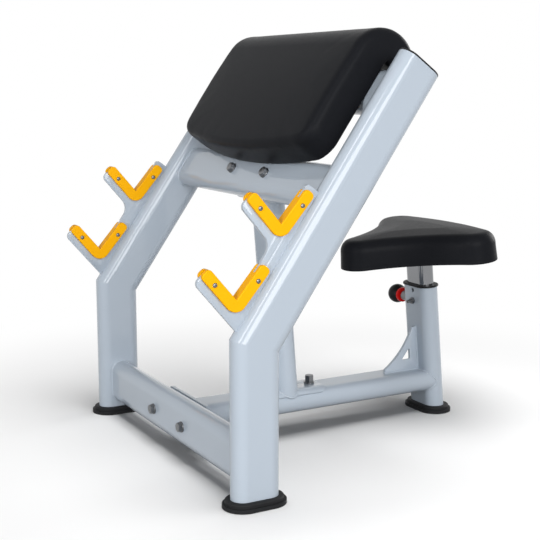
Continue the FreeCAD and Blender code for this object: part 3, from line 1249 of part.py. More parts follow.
barrel = lathe("pin_barrel_blank", [("-barrel_sink", "barrel_front_bore"), ("-barrel_sink", "barrel_radius"),
                                    ("-barrel_bevel_face", "barrel_radius"),
                                    ("-barrel_face", "barrel_bevel_radius"),
                                    ("-barrel_face", "barrel_back_bore"),
                                    ("-chamber_end", "barrel_back_bore"), ("-chamber_end", "barrel_chamber"),
                                    ("-chamber_start", "barrel_chamber"),
                                    ("-chamber_start", "barrel_front_bore")])
on_post(barrel, "pin_height")
node(cut(barrel, post_form, "pin_barrel"), "pin_barrel")

ring = lathe("pin_ring", [("-ring_face", "stem_radius"), ("-ring_face", "ring_radius"),
                          ("-knob_face", "ring_radius"), ("-knob_face", "stem_radius")])
node(on_post(ring, "pin_height"), "pin_ring")

knob = lathe("pin_knob", [("-knob_face", "stem_radius"), ("-knob_face", "neck_radius"), ("-ball_end", "0"),
                          ("-stem_end", "0"), ("-stem_end", "stem_radius")],
             bows={1: ("-ball_bow_x", "ball_bow_r")})
node(on_post(knob, "pin_height"), "pin_knob")

SPRING_TURNS = 3
spring_length = size("chamber_end") - size("collar_back") - 2 * size("spring_gap") - size("spring_wire")
spring_radius = size("spring_mean") / 2
helix = Part.makeHelix(spring_length / SPRING_TURNS, spring_length, spring_radius)
wire_circle = Part.makeCircle(size("spring_wire") / 2, Vector(spring_radius, 0, 0), Y_AXIS)
spring = doc.addObject("Part::Feature", "pin_spring_form")
spring.Shape = Part.Wire(helix).makePipeShell([Part.Wire(wire_circle)], True, True)
near_coils = []
SPRING_STEPS = 60
spring_pitch = spring_length / SPRING_TURNS
for step in range(SPRING_STEPS * (SPRING_TURNS - 1)):
    angle = 2 * math.pi * step / SPRING_STEPS
    rise = spring_pitch * step / SPRING_STEPS
    here = Vector(math.cos(angle) * spring_radius, math.sin(angle) * spring_radius, rise)
    near_coils.append(here.distanceToPoint(here + Vector(0, 0, spring_pitch)) - size("spring_wire"))
print(f"pin spring, least gap between coils {min(near_coils):.2f} mm")
place(spring, "spring_gap + spring_wire / 2 - chamber_end", turn=ALONG_X)
node(on_post(group("pin_spring", [spring]), "pin_height"), "pin_spring")

# Clamp screw, with a socket for its key, in a nut on the front of the post

screw_tip = "inner_short / 2 + slide_play"
nut_face = "tube_round + clamp_nut_tall"
screw_end = ("0", f"-({nut_face} + clamp_out)", "0")
shank = round_bar("clamp_shank", "clamp_shank", f"{nut_face} + clamp_out - ({screw_tip})", screw_end, ALONG_Y)
socket = hex_bar("clamp_socket", "clamp_socket", "clamp_socket_deep", screw_end, ALONG_Y)
node(on_post(cut(shank, socket, "clamp_screw"), "clamp_height"), "clamp_screw")
nut_spot = ("0", f"-({nut_face})", "0")
block = hex_bar("clamp_block", "clamp_nut_wide", "clamp_nut_tall", nut_spot, ALONG_Y)
bore = round_bar("clamp_bore", "clamp_shank + 2 * thread_play", "clamp_nut_tall", nut_spot, ALONG_Y)
node(on_post(cut(block, bore, "clamp_nut"), "clamp_height"), "clamp_nut")

# Checks and export

doc.recompute()
faults = [item.Label for item in doc.Objects if "Invalid" in item.State or "Error" in item.State]
faults += [item.Label for item in NODES if item.Shape.isNull() or not item.Shape.isValid()]
if faults:
    raise ValueError(f"pieces with faults: {faults}")
for item in NODES:
    item.Shape.exportStep(f"parts/{item.Label}.step")
boxes = [item.Shape.BoundBox for item in NODES]
print(f"{len(NODES)} pieces, x {min(b.XMin for b in boxes):.1f} to {max(b.XMax for b in boxes):.1f},"
      f" y {min(b.YMin for b in boxes):.1f} to {max(b.YMax for b in boxes):.1f},"
      f" z {min(b.ZMin for b in boxes):.1f} to {max(b.ZMax for b in boxes):.1f}")
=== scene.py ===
# %% [markdown]
# # Dressing a preacher curl bench
# The bench arrives as a packed assembly of bare solids at their real size. This lesson gives it the
# finish of the real thing: powder coat on the tubes, leatherette on the cushions, chrome, rubber,
# zinc and plastic, and the small shapes that a welder, an upholsterer and a fitter leave behind.
# Nothing is moved or resized: every new piece sits where the solid that it stands for sits.

# %% Load the packed bench
import json
import math

import bpy
import numpy as np
from mathutils import Matrix, Vector

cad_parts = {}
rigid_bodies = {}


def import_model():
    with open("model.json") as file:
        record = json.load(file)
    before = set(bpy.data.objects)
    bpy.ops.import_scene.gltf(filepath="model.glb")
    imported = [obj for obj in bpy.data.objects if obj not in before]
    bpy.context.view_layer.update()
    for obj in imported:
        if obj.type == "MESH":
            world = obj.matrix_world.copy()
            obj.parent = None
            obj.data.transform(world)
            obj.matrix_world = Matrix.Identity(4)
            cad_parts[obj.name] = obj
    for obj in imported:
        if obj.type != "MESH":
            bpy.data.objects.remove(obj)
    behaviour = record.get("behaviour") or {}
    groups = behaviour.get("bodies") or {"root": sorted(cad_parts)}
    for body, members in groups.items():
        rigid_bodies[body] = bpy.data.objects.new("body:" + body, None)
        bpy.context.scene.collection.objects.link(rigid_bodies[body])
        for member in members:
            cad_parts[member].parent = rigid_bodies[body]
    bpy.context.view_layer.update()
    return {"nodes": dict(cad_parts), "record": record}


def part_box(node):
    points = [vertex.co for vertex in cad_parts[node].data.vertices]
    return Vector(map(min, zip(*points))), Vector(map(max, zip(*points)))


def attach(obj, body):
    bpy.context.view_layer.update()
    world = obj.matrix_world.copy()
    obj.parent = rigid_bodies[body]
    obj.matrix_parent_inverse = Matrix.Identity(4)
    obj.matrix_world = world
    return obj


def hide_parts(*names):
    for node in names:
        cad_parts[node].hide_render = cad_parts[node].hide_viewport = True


for leftover in list(bpy.data.objects):
    bpy.data.objects.remove(leftover)
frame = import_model()

# %% [markdown]
# ## Landmarks
# The bench is laid out about a few lines: the upright line of the legs, the slant of the upper legs,
# and the lean of the seat post and of the centre post. The lines are read from the frame, and the
# angles are those that the tubes are cut to. With them camera, cushions and welds can all be placed
# in the bench's own terms.

# %% Read the landmarks
LEG_SLANT = math.radians(35)
POST_LEAN = math.radians(5.5)
CENTRE_POST_LEAN = math.radians(4.6)


def middle(node):
    """Middle of a node's box."""
    low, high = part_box(node)
    return (low + high) / 2


leg_line = middle("left_foot").y
post_line = middle("rear_foot").y
print(f"legs at y {leg_line:.4f} m, seat post at y {post_line:.4f} m")

# %% [markdown]
# ## Shader arithmetic
# A finish is a small formula over the surface: a mask times a colour, a noise added to a roughness.
# Wiring such formulas by hand hides them, so one small class wraps an output socket and lets
# Python's own operators add the Math nodes. A second one holds a material and adds any other node.


# %% Define sockets that can be added and multiplied
class Wire:
    """An output socket whose arithmetic adds Math nodes to its finish."""

    def __init__(self, finish, socket):
        self.finish = finish
        self.socket = socket

    def work_out(self, operation, first, second):
        return self.finish.node("ShaderNodeMath", {"operation": operation}, {0: first, 1: second})

    def __add__(self, other):
        return self.work_out("ADD", self, other)

    def __mul__(self, other):
        return self.work_out("MULTIPLY", self, other)

    def __sub__(self, other):
        return self.work_out("SUBTRACT", self, other)

    def __rsub__(self, other):
        return self.work_out("SUBTRACT", other, self)

    __radd__ = __add__
    __rmul__ = __mul__


print("sockets can now be added, subtracted and multiplied")

# %% [markdown]
# The second class is the bench where a finish is put together. It starts from Blender's own
# Principled shader and the position on the object, and it has short words for what nearly every
# finish needs: a noise, a stretched position, a colour between two and a bump.


# %% Define a finish
class Finish:
    """A material under construction."""

    def __init__(self, name):
        self.material = bpy.data.materials.new(name)
        self.material.use_nodes = True
        self.tree = self.material.node_tree
        self.shader = self.tree.nodes["Principled BSDF"]
        self.place = self.node("ShaderNodeTexCoord", out="Object")

    def node(self, kind, settings=None, sockets=None, out=0):
        """Add a node, set it up, feed its sockets and return one of its outputs."""
        made = self.tree.nodes.new(kind)
        for name, value in (settings or {}).items():
            if name == "stops":
                self.set_stops(made.color_ramp, value)
            else:
                setattr(made, name, value)
        self.feed(made, sockets or {})
        return Wire(self, made.outputs[out])

    def set_stops(self, ramp, stops):
        while len(ramp.elements) < len(stops):
            ramp.elements.new(1.0)
        for element, (position, colour) in zip(ramp.elements, stops):
            element.position = position
            element.color = colour

    def feed(self, made, sockets):
        for name, value in sockets.items():
            if isinstance(value, Wire):
                self.tree.links.new(value.socket, made.inputs[name])
            else:
                made.inputs[name].default_value = value

    def noise(self, scale, detail=2.0, roughness=0.5, place=None):
        """Soft noise between 0 and 1, about one feature per 1 / scale metres."""
        sockets = {"Vector": place or self.place, "Scale": scale, "Detail": detail, "Roughness": roughness}
        return self.node("ShaderNodeTexNoise", None, sockets)

    def stretched(self, across, along, up):
        """The surface position, stretched by a factor along each axis."""
        return self.node("ShaderNodeMapping", None, {"Vector": self.place, "Scale": (across, along, up)})

    def tint(self, factor, first, second):
        """A colour between two, by a factor. A Mix node keeps its colours in sockets 6 and 7."""
        return self.node("ShaderNodeMix", {"data_type": "RGBA"}, {0: factor, 6: first, 7: second}, out=2)

    def bump(self, height, strength, distance):
        """Raise the surface by a height between 0 and 1 times a distance."""
        sockets = {"Height": height, "Strength": strength, "Distance": distance}
        self.feed(self.shader, {"Normal": self.node("ShaderNodeBump", None, sockets)})

    def surface(self, **sockets):
        """Set the shader's own sockets, named with spaces as underscores."""
        self.feed(self.shader, {name.replace("_", " "): value for name, value in sockets.items()})


print("a finish can take:", [word for word in vars(Finish) if not word.startswith("_")])

# %% [markdown]
# ## Powder coat
# The frame is powder coated in a pale blue-grey. Baked powder flows out glossy but never quite
# flat: seen close it has the dimples of an orange peel, a millimetre or two apart. So the gloss is a
# clear coat over a satin base, the dimples are a low bump, and the shade drifts a little.

# %% Make the powder coat
COAT_DARK = (0.39, 0.446, 0.512, 1)
COAT_PALE = (0.415, 0.47, 0.536, 1)
DIMPLES_PER_METRE = 620
DRIFTS_PER_METRE = 7
powder_coat = Finish("powder_coat")
dimples = powder_coat.noise(DIMPLES_PER_METRE, detail=1.0)
drift = powder_coat.noise(DRIFTS_PER_METRE, detail=3.0)
powder_coat.surface(
    Base_Color=powder_coat.tint(drift, COAT_DARK, COAT_PALE),
    Roughness=0.3 + drift * 0.08,
    Specular_IOR_Level=0.05,
    Coat_Weight=0.9,
    Coat_Roughness=0.06,
)
powder_coat.bump(dimples, strength=0.05, distance=0.0004)
print("powder coat:", len(powder_coat.tree.nodes), "nodes")

# %% [markdown]
# ## Leatherette
# Both cushions wear the same black coated fabric. Its embossed grain is a net of fine creases about
# a millimetre apart, which breaks up the gloss without showing as a pattern from a step away. The
# creases are the borders of Voronoi cells, a little paler and rougher than the skin between them.

# %% Make the leatherette
SKIN_DARK = (0.0082, 0.0088, 0.0108, 1)
SKIN_PALE = (0.0108, 0.0115, 0.0138, 1)
CELLS_PER_METRE = 820.0
PORES_PER_METRE = 1900
CLOUDS_PER_METRE = 90
CREASE_WIDTH_SHARE = 0.12
leatherette = Finish("leatherette")
wander = leatherette.noise(CLOUDS_PER_METRE, detail=2.0)
cells = leatherette.node(
    "ShaderNodeTexVoronoi",
    {"feature": "DISTANCE_TO_EDGE"},
    {"Vector": leatherette.place, "Scale": CELLS_PER_METRE, "Randomness": 0.9},
)
crease = leatherette.node("ShaderNodeMapRange", None, {"Value": cells, "From Max": CREASE_WIDTH_SHARE})
pores = leatherette.noise(PORES_PER_METRE, detail=1.0)
leatherette.surface(
    Base_Color=leatherette.tint(crease * 0.5 + wander * 0.5, SKIN_DARK, SKIN_PALE),
    Roughness=0.27 + wander * 0.07 + (1 - crease) * 0.12,
    Specular_IOR_Level=0.03,
)
leatherette.bump(crease * 0.8 + pores * 0.2, strength=0.22, distance=0.00012)
print("leatherette:", len(leatherette.tree.nodes), "nodes")

# %% [markdown]
# ## Plastics and rubber
# The hook liners are moulded in yellow plastic with a satin skin; the caps, the sleeve and the knob
# are black; the ring on the pin is red; the feet are matt rubber with a faintly mottled bloom. They
# share one recipe with different colours, gloss and grain, and so does the black paint of the plate
# under the seat.

# %% Make the moulded finishes
MOTTLES_PER_METRE = 24
# Each row: the darker and the paler shade, the roughness, the grains per metre and their depth in metres.
MOULDED = {
    "hook_yellow": ((0.87, 0.405, 0.0, 1), (0.92, 0.44, 0.0, 1), 0.42, 900, 0.0001),
    "black_plastic": ((0.009, 0.009, 0.01, 1), (0.013, 0.013, 0.014, 1), 0.36, 800, 0.0001),
    "red_plastic": ((0.6, 0.008, 0.008, 1), (0.66, 0.012, 0.01, 1), 0.3, 800, 0.0001),
    "foot_rubber": ((0.011, 0.0115, 0.0125, 1), (0.018, 0.0185, 0.02, 1), 0.55, 500, 0.0003),
    "black_paint": ((0.008, 0.008, 0.009, 1), (0.012, 0.012, 0.013, 1), 0.3, 600, 0.0002),
}


def moulded(name, dark, pale, roughness, grains, depth):
    """Plastic, rubber or paint: two near shades, a roughness and the grain of its skin."""
    finish = Finish(name)
    mottle = finish.noise(MOTTLES_PER_METRE, detail=3.0)
    finish.surface(
        Base_Color=finish.tint(mottle, dark, pale),
        Roughness=roughness + mottle * 0.08,
        Specular_IOR_Level=0.12,
    )
    finish.bump(finish.noise(grains, detail=2.0), strength=0.12, distance=depth)
    return finish


plastics = {name: moulded(name, *recipe) for name, recipe in MOULDED.items()}
print("moulded finishes:", ", ".join(plastics))

# %% [markdown]
# ## Bare metals and wood
# Chrome is almost a mirror: what gives it away as metal is faint polishing lines along the post.
# Zinc on bolts is duller and cloudy. Both are written darker than they are, because here they mirror
# a plain white studio and no dark room. The cushion boards are plywood, with long grain along X: a
# noise that is stretched far along one axis turns into such lines.

# %% Make chrome, zinc and plywood
CHROME_TONE = (0.24, 0.245, 0.255, 1)
POLISH_STRETCH = (900, 900, 12)
chrome = Finish("chrome")
polish = chrome.noise(1.0, detail=2.0, place=chrome.stretched(*POLISH_STRETCH))
chrome.surface(Base_Color=CHROME_TONE, Metallic=1.0, Roughness=0.07 + polish * 0.07)

ZINC_DARK = (0.15, 0.154, 0.162, 1)
ZINC_PALE = (0.22, 0.224, 0.23, 1)
ZINC_CLOUDS_PER_METRE = 260
zinc = Finish("zinc")
cloud = zinc.noise(ZINC_CLOUDS_PER_METRE, detail=3.0)
zinc.surface(
    Base_Color=zinc.tint(cloud, ZINC_DARK, ZINC_PALE),
    Metallic=1.0,
    Roughness=0.26 + cloud * 0.18,
)

VENEER = [(0.3, (0.3, 0.18, 0.085, 1)), (0.55, (0.46, 0.3, 0.155, 1)), (0.75, (0.55, 0.38, 0.21, 1))]
GRAIN_STRETCH = (9, 160, 160)
plywood = Finish("plywood")
grain = plywood.noise(1.0, detail=6.0, roughness=0.62, place=plywood.stretched(*GRAIN_STRETCH))
veneer = plywood.node("ShaderNodeValToRGB", {"stops": VENEER}, {"Fac": grain})
plywood.surface(Base_Color=veneer, Roughness=0.6 + grain * 0.15)
plywood.bump(grain, strength=0.15, distance=0.0003)
print("chrome, zinc and plywood:", [len(finish.tree.nodes) for finish in (chrome, zinc, plywood)], "nodes")

# %% [markdown]
# ## Finish of each solid
# Every solid names a material slot in its record. The solids could be dressed one by one, but one
# table of slots does it for the whole bench, and new pieces take their finish from the same table.

# %% Dress the solids
FINISHES = {
    "frame_paint": powder_coat,
    "hook_liner": plastics["hook_yellow"],
    "foot_rubber": plastics["foot_rubber"],
    "black_plastic": plastics["black_plastic"],
    "red_plastic": plastics["red_plastic"],
    "chrome": chrome,
    "zinc_steel": zinc,
    "black_steel": plastics["black_paint"],
    "plywood": plywood,
    "upholstery": leatherette,
}


def dress(piece, finish):
    piece.data.materials.clear()
    piece.data.materials.append(finish.material)


slot_of = {row["node"]: row["material_slot"] for row in frame["record"]["subparts"]}
for node, slot in slot_of.items():
    dress(frame["nodes"][node], FINISHES[slot])
print("dressed", len(slot_of), "solids")

# %% [markdown]
# ## Working by hand from Python
# New pieces are made with the operators behind Blender's menus: pick a piece, go into edit mode, cut,
# bevel, come back. Importing a model leaves all of it selected, so every step starts by picking its
# own piece and nothing else. A solid from the frame stays as it is: what needs cutting is a copy,
# whose split corners are merged first because a packed mesh keeps one corner per face.

# %% Define the hand moves
MERGE = 0.00001


def pick(*pieces):
    """Select these pieces alone and make the last one active."""
    bpy.ops.object.select_all(action="DESELECT")
    for piece in pieces:
        piece.select_set(True)
    bpy.context.view_layer.objects.active = pieces[-1]


def edit(piece, mode="VERT"):
    """Enter edit mode on one piece with everything selected."""
    pick(piece)
    bpy.ops.object.mode_set(mode="EDIT")
    bpy.ops.mesh.select_mode(type=mode)
    bpy.ops.mesh.select_all(action="SELECT")


def leave_edit():
    bpy.ops.object.mode_set(mode="OBJECT")


def modify(piece, kind, **settings):
    """Add a modifier, set it up and apply it."""
    pick(piece)
    modifier = piece.modifiers.new(kind.lower(), kind)
    for name, value in settings.items():
        setattr(modifier, name, value)
    bpy.ops.object.modifier_apply(modifier=modifier.name)


def merged_copy(node):
    """A copy of a solid that can be edited."""
    piece = bpy.data.objects.new(node + "_copy", frame["nodes"][node].data.copy())
    bpy.context.scene.collection.objects.link(piece)
    edit(piece)
    bpy.ops.mesh.remove_doubles(threshold=MERGE)
    bpy.ops.mesh.customdata_custom_splitnormals_clear()
    leave_edit()
    return piece


def settle(piece, name, slot, body, *nodes):
    """Name and dress a finished piece, let it ride on a body and stand for the solids that it follows."""
    piece.name = name
    dress(piece, FINISHES[slot])
    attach(piece, body)
    if nodes:
        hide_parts(*nodes)


print("hand moves: pick, edit, modify, merged copy, settle")

# %% [markdown]
# ## Cut plates
# The rack plates, the two flanges, the shoe under the centre post and the gusset are cut from sheet.
# Their cut edges are broken with a grinder before coating, and the powder rounds them further, which
# is what makes a thin bright line run round a coated plate. A small bevel on a copy does the same.

# %% Ease the edges of the plates
EDGE_EASE = 0.0009
EASE_STEPS = 2
FLAT_ANGLE = math.radians(1)
EDGE_ANGLE = math.radians(48)
SMOOTH_ANGLE = math.radians(32)
PLATES = (
    "left_rack_plate",
    "right_rack_plate",
    "beam_flange",
    "centre_post_flange",
    "centre_post_shoe",
    "post_gusset",
)
for node in PLATES:
    plate = merged_copy(node)
    edit(plate, "EDGE")
    bpy.ops.mesh.dissolve_limited(angle_limit=FLAT_ANGLE)
    leave_edit()
    modify(
        plate,
        "BEVEL",
        width=EDGE_EASE,
        segments=EASE_STEPS,
        limit_method="ANGLE",
        angle_limit=EDGE_ANGLE,
        use_clamp_overlap=True,
    )
    bpy.ops.object.shade_smooth_by_angle(angle=SMOOTH_ANGLE)
    settle(plate, node + "_eased", "frame_paint", "frame", node)
    print(node, len(plate.data.polygons), "faces")

# %% [markdown]
# ## Weld beads
# The tubes are welded all round before coating. A bead is a thin roll of metal along the corner
# between two pieces, so its line is the outline of a tube's own end. A line could be drawn anew, but
# it is there already: the sharp edges that lie on the seam are split off from a copy of the tube and
# divided until their points are close enough for ripples.

# %% Split the line of a seam off a solid
SHARP_ANGLE = math.radians(25)
BEAD_POINT_GAP = 0.0024


def edge_length(mesh, edge):
    first, second = edge.vertices
    return (mesh.vertices[first].co - mesh.vertices[second].co).length


def pick_edges(piece, chosen):
    """Enter edit mode with just the edges selected that pass a test."""
    edit(piece, "EDGE")
    bpy.ops.mesh.select_all(action="DESELECT")
    leave_edit()
    for edge in piece.data.edges:
        edge.select = chosen(edge)
    bpy.ops.object.mode_set(mode="EDIT")


def sharp_edges(piece):
    """The numbers of the edges where two faces meet at a clear angle."""
    edit(piece, "EDGE")
    bpy.ops.mesh.select_all(action="DESELECT")
    bpy.ops.mesh.edges_select_sharp(sharpness=SHARP_ANGLE)
    leave_edit()
    return {edge.index for edge in piece.data.edges if edge.select}


def seam_line(node, on_seam):
    """The sharp edges of a solid whose two ends lie on a seam, as a piece of their own."""
    piece = merged_copy(node)
    sharp = sharp_edges(piece)
    spots = [vertex.co.copy() for vertex in piece.data.vertices]
    pick_edges(piece, lambda edge: edge.index in sharp and all(on_seam(spots[end]) for end in edge.vertices))
    bpy.ops.mesh.duplicate()
    bpy.ops.mesh.separate(type="SELECTED")
    leave_edit()
    line = next(item for item in bpy.context.selected_objects if item != piece)
    bpy.data.objects.remove(piece)
    edit(line, "FACE")
    bpy.ops.mesh.delete(type="ONLY_FACE")
    leave_edit()
    while max(edge_length(line.data, edge) for edge in line.data.edges) > BEAD_POINT_GAP:
        pick_edges(line, lambda edge: edge_length(line.data, edge) > BEAD_POINT_GAP)
        bpy.ops.mesh.subdivide(number_cuts=1)
        leave_edit()
    return line


print("seam lines have points at most", BEAD_POINT_GAP * 1000, "mm apart")

# %% [markdown]
# A bead has a ripple for every step of the welder's hand. The line is turned into a curve and given
# a round section whose radius swells and shrinks along the way. A bump could paint the ripples, but
# these show in the outline too. The curve then becomes a mesh, and the caps at its ends are merged
# with it.

# %% Define a weld bead
BEAD_RADIUS = 0.0024
BEAD_STEP = 0.0045
BEAD_ROUNDING = 2
RIPPLE_SHARE = 0.16


def bead(node, name, on_seam):
    """A rippled weld bead along a seam of a solid."""
    line = seam_line(node, on_seam)
    pick(line)
    bpy.ops.object.convert(target="CURVE")
    line.data.bevel_depth = BEAD_RADIUS
    line.data.bevel_resolution = BEAD_ROUNDING
    line.data.use_fill_caps = True
    for spline in line.data.splines:
        walked = 0.0
        last = spline.points[0].co.xyz
        for point in spline.points:
            walked += (point.co.xyz - last).length
            last = point.co.xyz
            point.radius = 1 + RIPPLE_SHARE * math.sin(2 * math.pi * walked / BEAD_STEP)
    bpy.ops.object.convert(target="MESH")
    weld = bpy.context.object
    edit(weld)
    bpy.ops.mesh.remove_doubles(threshold=MERGE)
    leave_edit()
    bpy.ops.object.shade_smooth()
    settle(weld, name, "frame_paint", "frame")
    print(name, len(weld.data.polygons), "faces")


print("beads swell by", RIPPLE_SHARE, "of their radius every", BEAD_STEP * 1000, "mm")

# %% [markdown]
# A seam is where the skins of two pieces meet. The skin of a flat-oval tube is all the points at one
# distance from a flat strip along its axis, so a short test tells whether a point lies on it. Two
# such tests together make a seam.

# %% Define the tests for a seam
TUBE_ROUND = 0.025
SKIN_PLAY = 0.0006
ACROSS = Vector((1, 0, 0))
REARWARD = Vector((0, 1, 0))
UPWARD = Vector((0, 0, 1))
ALONG_LEG = Vector((0, math.sin(LEG_SLANT), math.cos(LEG_SLANT)))
AHEAD_OF_LEG = Vector((0, -math.cos(LEG_SLANT), math.sin(LEG_SLANT)))
UP_POST = Vector((0, -math.sin(POST_LEAN), math.cos(POST_LEAN)))
UP_CENTRE_POST = Vector((0, -math.sin(CENTRE_POST_LEAN), math.cos(CENTRE_POST_LEAN)))


def tube_skin(centre, long_way, run, extra=0.0):
    """A test for points on the skin of a flat-oval tube, or at a distance outside it."""

    def on_skin(spot):
        offset = spot - centre
        offset = offset - run * offset.dot(run)
        reach = max(-TUBE_ROUND, min(TUBE_ROUND, offset.dot(long_way)))
        return abs((offset - long_way * reach).length - TUBE_ROUND - extra) < SKIN_PLAY

    return on_skin


def highest(node, direction):
    return max(vertex.co.dot(direction) for vertex in frame["nodes"][node].data.vertices)


def end_face(node, direction):
    """A test for points on the face of a solid that lies furthest along a direction."""
    height = highest(node, direction)
    return lambda spot: abs(spot.dot(direction) - height) < SKIN_PLAY


def both(first, second):
    return lambda spot: first(spot) and second(spot)


print("a point counts as on a skin within", SKIN_PLAY * 1000, "mm")

# %% [markdown]
# The three crossbars are welded to the legs at both ends. The base beam is welded to its flange in
# front and coped to the seat post behind, where a gusset stiffens the corner. The centre post stands
# on a saddle, so its foot follows the beam's skin at the saddle's thickness.

# %% Run the weld beads
SADDLE_THICK = 0.005
LONG_WAYS = {"lower_crossbar": UPWARD, "middle_crossbar": ALONG_LEG, "upper_crossbar": ALONG_LEG}
for bar, long_way in LONG_WAYS.items():
    skin = tube_skin(middle(bar), long_way, ACROSS)
    for side, outward in (("left", -ACROSS), ("right", ACROSS)):
        bead(bar, f"{bar}_{side}_weld", both(skin, end_face(bar, outward)))

beam_skin = tube_skin(middle("base_beam"), ACROSS, REARWARD)
saddle_skin = tube_skin(middle("base_beam"), ACROSS, REARWARD, SADDLE_THICK)
post_skin = tube_skin(Vector((0, post_line, 0)), ACROSS, UP_POST)
bead("base_beam", "beam_front_weld", both(beam_skin, end_face("base_beam", -REARWARD)))
bead("base_beam", "beam_rear_weld", both(beam_skin, post_skin))

saddle_top = Vector((0, middle("centre_post_shoe").y, highest("centre_post_shoe", UPWARD)))
centre_skin = tube_skin(saddle_top, ACROSS, UP_CENTRE_POST)
bead("centre_post", "centre_post_foot_weld", both(saddle_skin, centre_skin))
bead("centre_post", "centre_post_head_weld", both(end_face("centre_post", AHEAD_OF_LEG), centre_skin))
bead("post_gusset", "gusset_foot_weld", end_face("base_beam", UPWARD))
bead("post_gusset", "gusset_back_weld", post_skin)

# %% [markdown]
# ## Fasteners
# In the packed solids a bolt is a plain hexagon on a plain rod. Real ones have heads chamfered by a
# cone, ridges of thread at the tail, washers with broken edges. One of each kind is made at the
# origin, then copied to every place. All of them start from two blanks, as in a workshop: a round
# one, turned ring by ring from a disc, and a bar with flat sides.

# %% Turn and cut the blanks
ROUND_SIDES = 32
HEXAGON_SIDES = 6


def turned(profile, sides=ROUND_SIDES):
    """A closed round piece from (radius, height) steps: a disc, extruded and scaled ring by ring."""
    radius, height = profile[0]
    start = (0, 0, height)
    bpy.ops.object.select_all(action="DESELECT")
    bpy.ops.mesh.primitive_circle_add(vertices=sides, radius=radius, fill_type="NGON", location=start)
    piece = bpy.context.object
    edit(piece, "FACE")
    for next_radius, next_height in profile[1:]:
        bpy.ops.mesh.extrude_region_move(TRANSFORM_OT_translate={"value": (0, 0, next_height - height)})
        growth = next_radius / radius
        bpy.ops.transform.resize(value=(growth, growth, 1), center_override=(0, 0, next_height))
        radius, height = next_radius, next_height
    bpy.ops.mesh.select_all(action="SELECT")
    bpy.ops.mesh.normals_make_consistent(inside=False)
    leave_edit()
    bpy.ops.object.transform_apply(location=True, rotation=False, scale=False)
    return piece


def prism(across, low, high, sides=HEXAGON_SIDES):
    """A bar with flat sides, measured across its flats, or a round one with many sides."""
    corner = across / 2 / math.cos(math.pi / sides)
    centre = (0, 0, (low + high) / 2)
    bpy.ops.object.select_all(action="DESELECT")
    bpy.ops.mesh.primitive_cylinder_add(vertices=sides, radius=corner, depth=high - low, location=centre)
    bpy.ops.object.transform_apply(location=True, rotation=False, scale=False)
    return bpy.context.object


def combine(piece, tool, operation):
    """Cut, join or intersect a piece with a tool, which is used up, and close the small gaps left."""
    modify(piece, "BOOLEAN", operation=operation, object=tool, solver="EXACT")
    bpy.data.objects.remove(tool)
    edit(piece)
    bpy.ops.mesh.remove_doubles(threshold=MERGE)
    bpy.ops.mesh.dissolve_degenerate(threshold=MERGE)
    leave_edit()
    return piece


print("blanks: round ones of", ROUND_SIDES, "sides, bars of", HEXAGON_SIDES)

# %% [markdown]
# A hexagon's corners are cut by a cone, which leaves the curved edges that every nut shows. A thread
# is really a helix, but at this size rings do: a rod that steps in and out once per pitch. A button
# head is a dome in four steps, with a hexagon socket sunk into it.

# %% Shape the fasteners
CONE_SIDES = 48
CONE_FLAT_SHARE = 0.95
CONE_WIDE_SHARE = 1.01
CONE_ANGLE = math.radians(30)
THREAD_DEPTH_SHARE = 0.54
WASHER_SIDES = 40
WASHER_EASE_SHARE = 1 / 6
# Each step of the dome: its share of the head's radius, and its share of the head's height.
DOME_SHARES = ((0.42, 1.0), (0.7, 0.86), (0.9, 0.58), (1.0, 0.2))
SOCKET_FLOOR_SHARE = 0.35
SOCKET_MOUTH_SHARE = 2


def hexagon(across, low, high, both_ends):
    """A hexagonal block whose corners are cut by a cone at its low end, or at both."""
    wide = across / math.sqrt(3) * CONE_WIDE_SHARE
    flat = across / 2 * CONE_FLAT_SHARE
    fall = (wide - flat) * math.tan(CONE_ANGLE)
    profile = [(flat, low), (wide, low + fall)]
    profile += [(wide, high - fall), (flat, high)] if both_ends else [(wide, high)]
    return combine(prism(across, low, high), turned(profile, CONE_SIDES), "INTERSECT")


def bolt(across, head_tall, shank, length, threaded, pitch):
    """A hexagon bolt along Z, its head below zero and its thread at the far end."""
    outer = shank / 2
    inner = outer - THREAD_DEPTH_SHARE * pitch
    rod = [(outer, -head_tall / 2), (outer, length - threaded)]
    turns = int((threaded - pitch) / pitch)
    for turn in range(turns):
        start = length - threaded + turn * pitch
        rod += [(inner, start + pitch / 2), (outer, start + pitch)]
    rod += [(inner, length)]
    return combine(hexagon(across, -head_tall, 0, False), turned(rod), "UNION")


def nut(across, tall, bore):
    """A hexagon nut about the origin."""
    block = hexagon(across, -tall / 2, tall / 2, True)
    return combine(block, prism(bore, -tall, tall, ROUND_SIDES), "DIFFERENCE")


def washer(wide, thick, bore):
    """A washer about the origin with broken edges."""
    rim = wide / 2
    face = thick / 2
    ease = thick * WASHER_EASE_SHARE
    profile = [(rim - ease, -face), (rim, -face + ease), (rim, face - ease), (rim - ease, face)]
    return combine(turned(profile, WASHER_SIDES), prism(bore, -thick, thick, ROUND_SIDES), "DIFFERENCE")


def button_screw(wide, tall, socket, shank, length):
    """A button-head screw along Z, its domed head with a hexagon socket below zero."""
    rim = wide / 2
    dome = [(rim * share, -tall * rise) for share, rise in DOME_SHARES]
    profile = dome + [(rim, 0), (shank / 2, 0), (shank / 2, length)]
    hole = prism(socket, -SOCKET_MOUTH_SHARE * tall, -SOCKET_FLOOR_SHARE * tall)
    return combine(turned(profile), hole, "DIFFERENCE")


print("fastener shapes: bolt, nut, washer, button screw")

# %% [markdown]
# The plain bolts tell where their copies go. A node of bolts is split into its separate solids, and
# the longest direction of each one's points is its line. The half with the wider points is the head.
# Nuts and washers have no long direction, so each takes the bolt line that passes through it.


